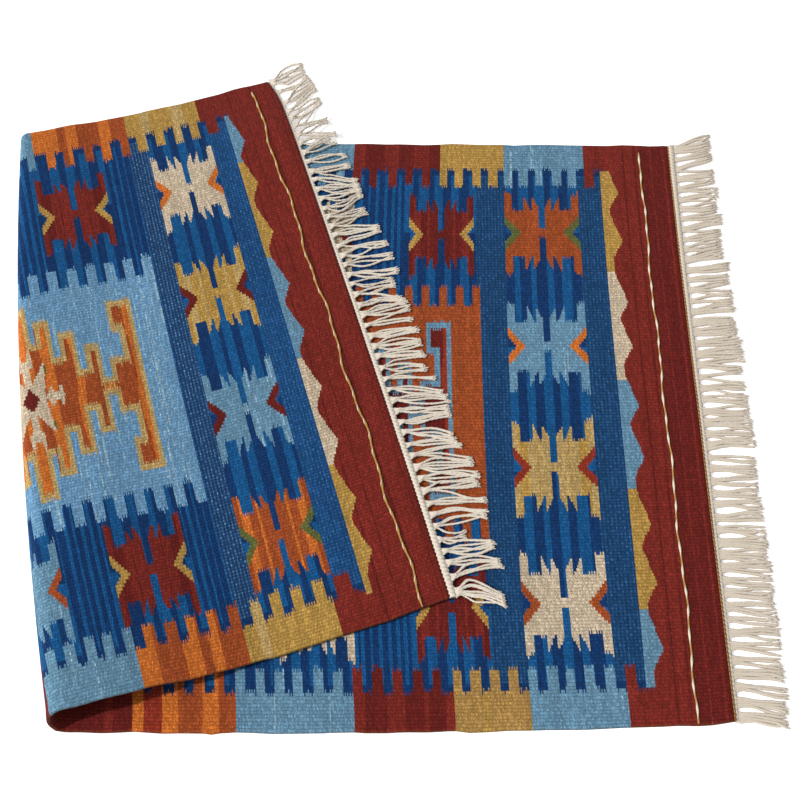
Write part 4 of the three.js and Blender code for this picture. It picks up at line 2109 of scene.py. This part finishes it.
@dataclass(frozen=True)
class Studio:
    """The pale floor, the soft light and the camera."""

    form: FoldedForm
    camera_tilt: float = math.radians(31.705)
    camera_roll: float = math.radians(0.349)
    camera_place: Point = (-263.5, -1112.5, 1322.3)
    camera_range: Span = (0.05, 50.0)
    focal_pixels: float = 1725.4
    frame_pixels: float = 800.0
    sensor: float = 36.0
    sun_from: Point = (-1.32, -0.4, 1.0)
    sun_strength: float = 3.6
    sun_angle: float = math.radians(2.5)
    sun_colour: Colour = (1.0, 0.985, 0.95)
    sky_strength: float = 0.64
    sky_colour: Colour = (0.97, 0.98, 1.0)
    floor_size: float = 12.0
    floor_colour: Colour = (0.93, 0.92, 0.92)
    floor_roughness: float = 0.9
    floor_glow: float = 0.34
    floor_glow_colour: Colour = (1.0, 0.99, 0.99)

    def camera(self) -> None:
        """Sets up the camera at the photograph's viewing angle."""
        data = bpy.data.cameras.new("camera")
        data.sensor_width = self.sensor
        data.lens = self.focal_pixels / self.frame_pixels * self.sensor
        data.clip_start, data.clip_end = self.camera_range
        ahead = Vector((0.0, math.sin(self.camera_tilt), -math.cos(self.camera_tilt)))
        level = Vector((1.0, 0.0, 0.0))
        upright = level.cross(ahead)
        right = level * math.cos(self.camera_roll) + upright * math.sin(self.camera_roll)
        up = upright * math.cos(self.camera_roll) - level * math.sin(self.camera_roll)
        turn = Matrix((right, up, -ahead)).transposed().to_4x4()
        place = Vector(self.camera_place) * MM + Vector(self.form.shift)
        made = added("camera", data)
        made.matrix_world = Matrix.Translation(place) @ turn
        bpy.context.scene.camera = made

    def light(self) -> None:
        """Sets up the sun and the even light from all round."""
        sun = bpy.data.lights.new("key", "SUN")
        sun.energy = self.sun_strength
        sun.angle = self.sun_angle
        sun.color = self.sun_colour
        added("key", sun).rotation_euler = Vector(self.sun_from).to_track_quat("Z", "Y").to_euler()
        world = bpy.data.worlds.new("studio")
        world.use_nodes = True
        back = world.node_tree.nodes["Background"]
        back.inputs["Color"].default_value = (*self.sky_colour, 1.0)
        back.inputs["Strength"].default_value = self.sky_strength
        bpy.context.scene.world = world
        bpy.context.scene.view_settings.view_transform = "Standard"

    def floor(self) -> None:
        """Lays the pale floor."""
        mesh = bmesh.new()
        bmesh.ops.create_grid(mesh, x_segments=1, y_segments=1, size=self.floor_size / 2.0)
        floor = added("floor", mesh_data("floor", mesh))
        material = Shader("pale_floor").finish(
            Base_Color=(*self.floor_colour, 1.0),
            Roughness=self.floor_roughness,
            Emission_Color=(*self.floor_glow_colour, 1.0),
            Emission_Strength=self.floor_glow,
        )
        floor.data.materials.append(material)


def dress(piece: bpy.types.Object, material: bpy.types.Material) -> None:
    """Gives a piece its material and its place in the frame.

    Args:
        piece: The piece.
        material: Its material.
    """
    piece.data.materials.clear()
    piece.data.materials.append(material)
    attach(piece, BODY)
    log.info("%s: %d faces", piece.name, len(piece.data.polygons))


def make_fringes(form: FoldedForm) -> list[bpy.types.Object]:
    """Makes the two fringes.

    Args:
        form: The shape in which the rug lies.

    Returns:
        Their objects.
    """
    cottons = {
        # The same cotton as on top, made darker and greyer: painted shade on the fringe that lies on the
        # floor
        End.UNDERNEATH: CottonFinish("shaded_cotton_underneath", linear(200, 190, 177), linear(184, 172, 156)),
        End.ON_TOP: CottonFinish("cotton_on_top", linear(215, 206, 194), linear(194, 183, 167)),
    }
    made = []
    for end, cotton in cottons.items():
        fringe = Fringe(form, end).build()
        dress(fringe, cotton.build())
        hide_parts(f"fringe_{end.value}")
        made.append(fringe)
    return made


def make_lines(form: FoldedForm) -> list[bpy.types.Object]:
    """Makes the two raised lines of twined yarn, and the fine ochre chain beside the end underneath.

    Args:
        form: The shape in which the rug lies.

    Returns:
        Their objects.
    """
    ochre, white = linear(160, 128, 72), linear(206, 194, 170)
    # The chain's dark brown is painted shade between its beads, not a second yarn
    dark_ochre, bead_gap_shade = linear(186, 140, 74), linear(110, 60, 32)
    lines = (
        TwinedLine(
            form, End.UNDERNEATH, along=29.0, pitch=21.0, sway=0.8, radius=1.0,
            finish=TwinedFinish("twined_line_underneath", ochre, white, 0.52),
        ),
        TwinedLine(
            form, End.ON_TOP, along=875.5, pitch=16.0, sway=1.5, radius=1.15,
            finish=TwinedFinish("twined_line_on_top", ochre, white, 0.1),
        ),
        TwinedLine(
            form, End.UNDERNEATH, along=0.3, pitch=4.1, sway=0.0, radius=0.75,
            start=0.5, stop=599.5, swell=0.3, height=0.5,
            # Its dark second colour is painted shade between the beads
            finish=TwinedFinish("ochre_chain", dark_ochre, bead_gap_shade, 0.3),
        ),
    )
    made = []
    for line in lines:
        piece = line.build()
        dress(piece, line.finish.build())
        made.append(piece)
    return made


def main() -> None:
    """Builds the rug and the studio."""
    logging.basicConfig(level=logging.INFO, format="%(message)s")
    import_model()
    form = FoldedForm().seated_in(*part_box("rug_cloth"))
    studio = Studio(form)
    studio.camera()
    studio.light()
    studio.floor()

    cloth = Cloth(form, Pattern().weave()).build()
    dress(cloth, WoolFinish().build())
    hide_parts("rug_cloth")
    pieces = [*make_fringes(form), *make_lines(form)]


if __name__ == "__main__":
    main()
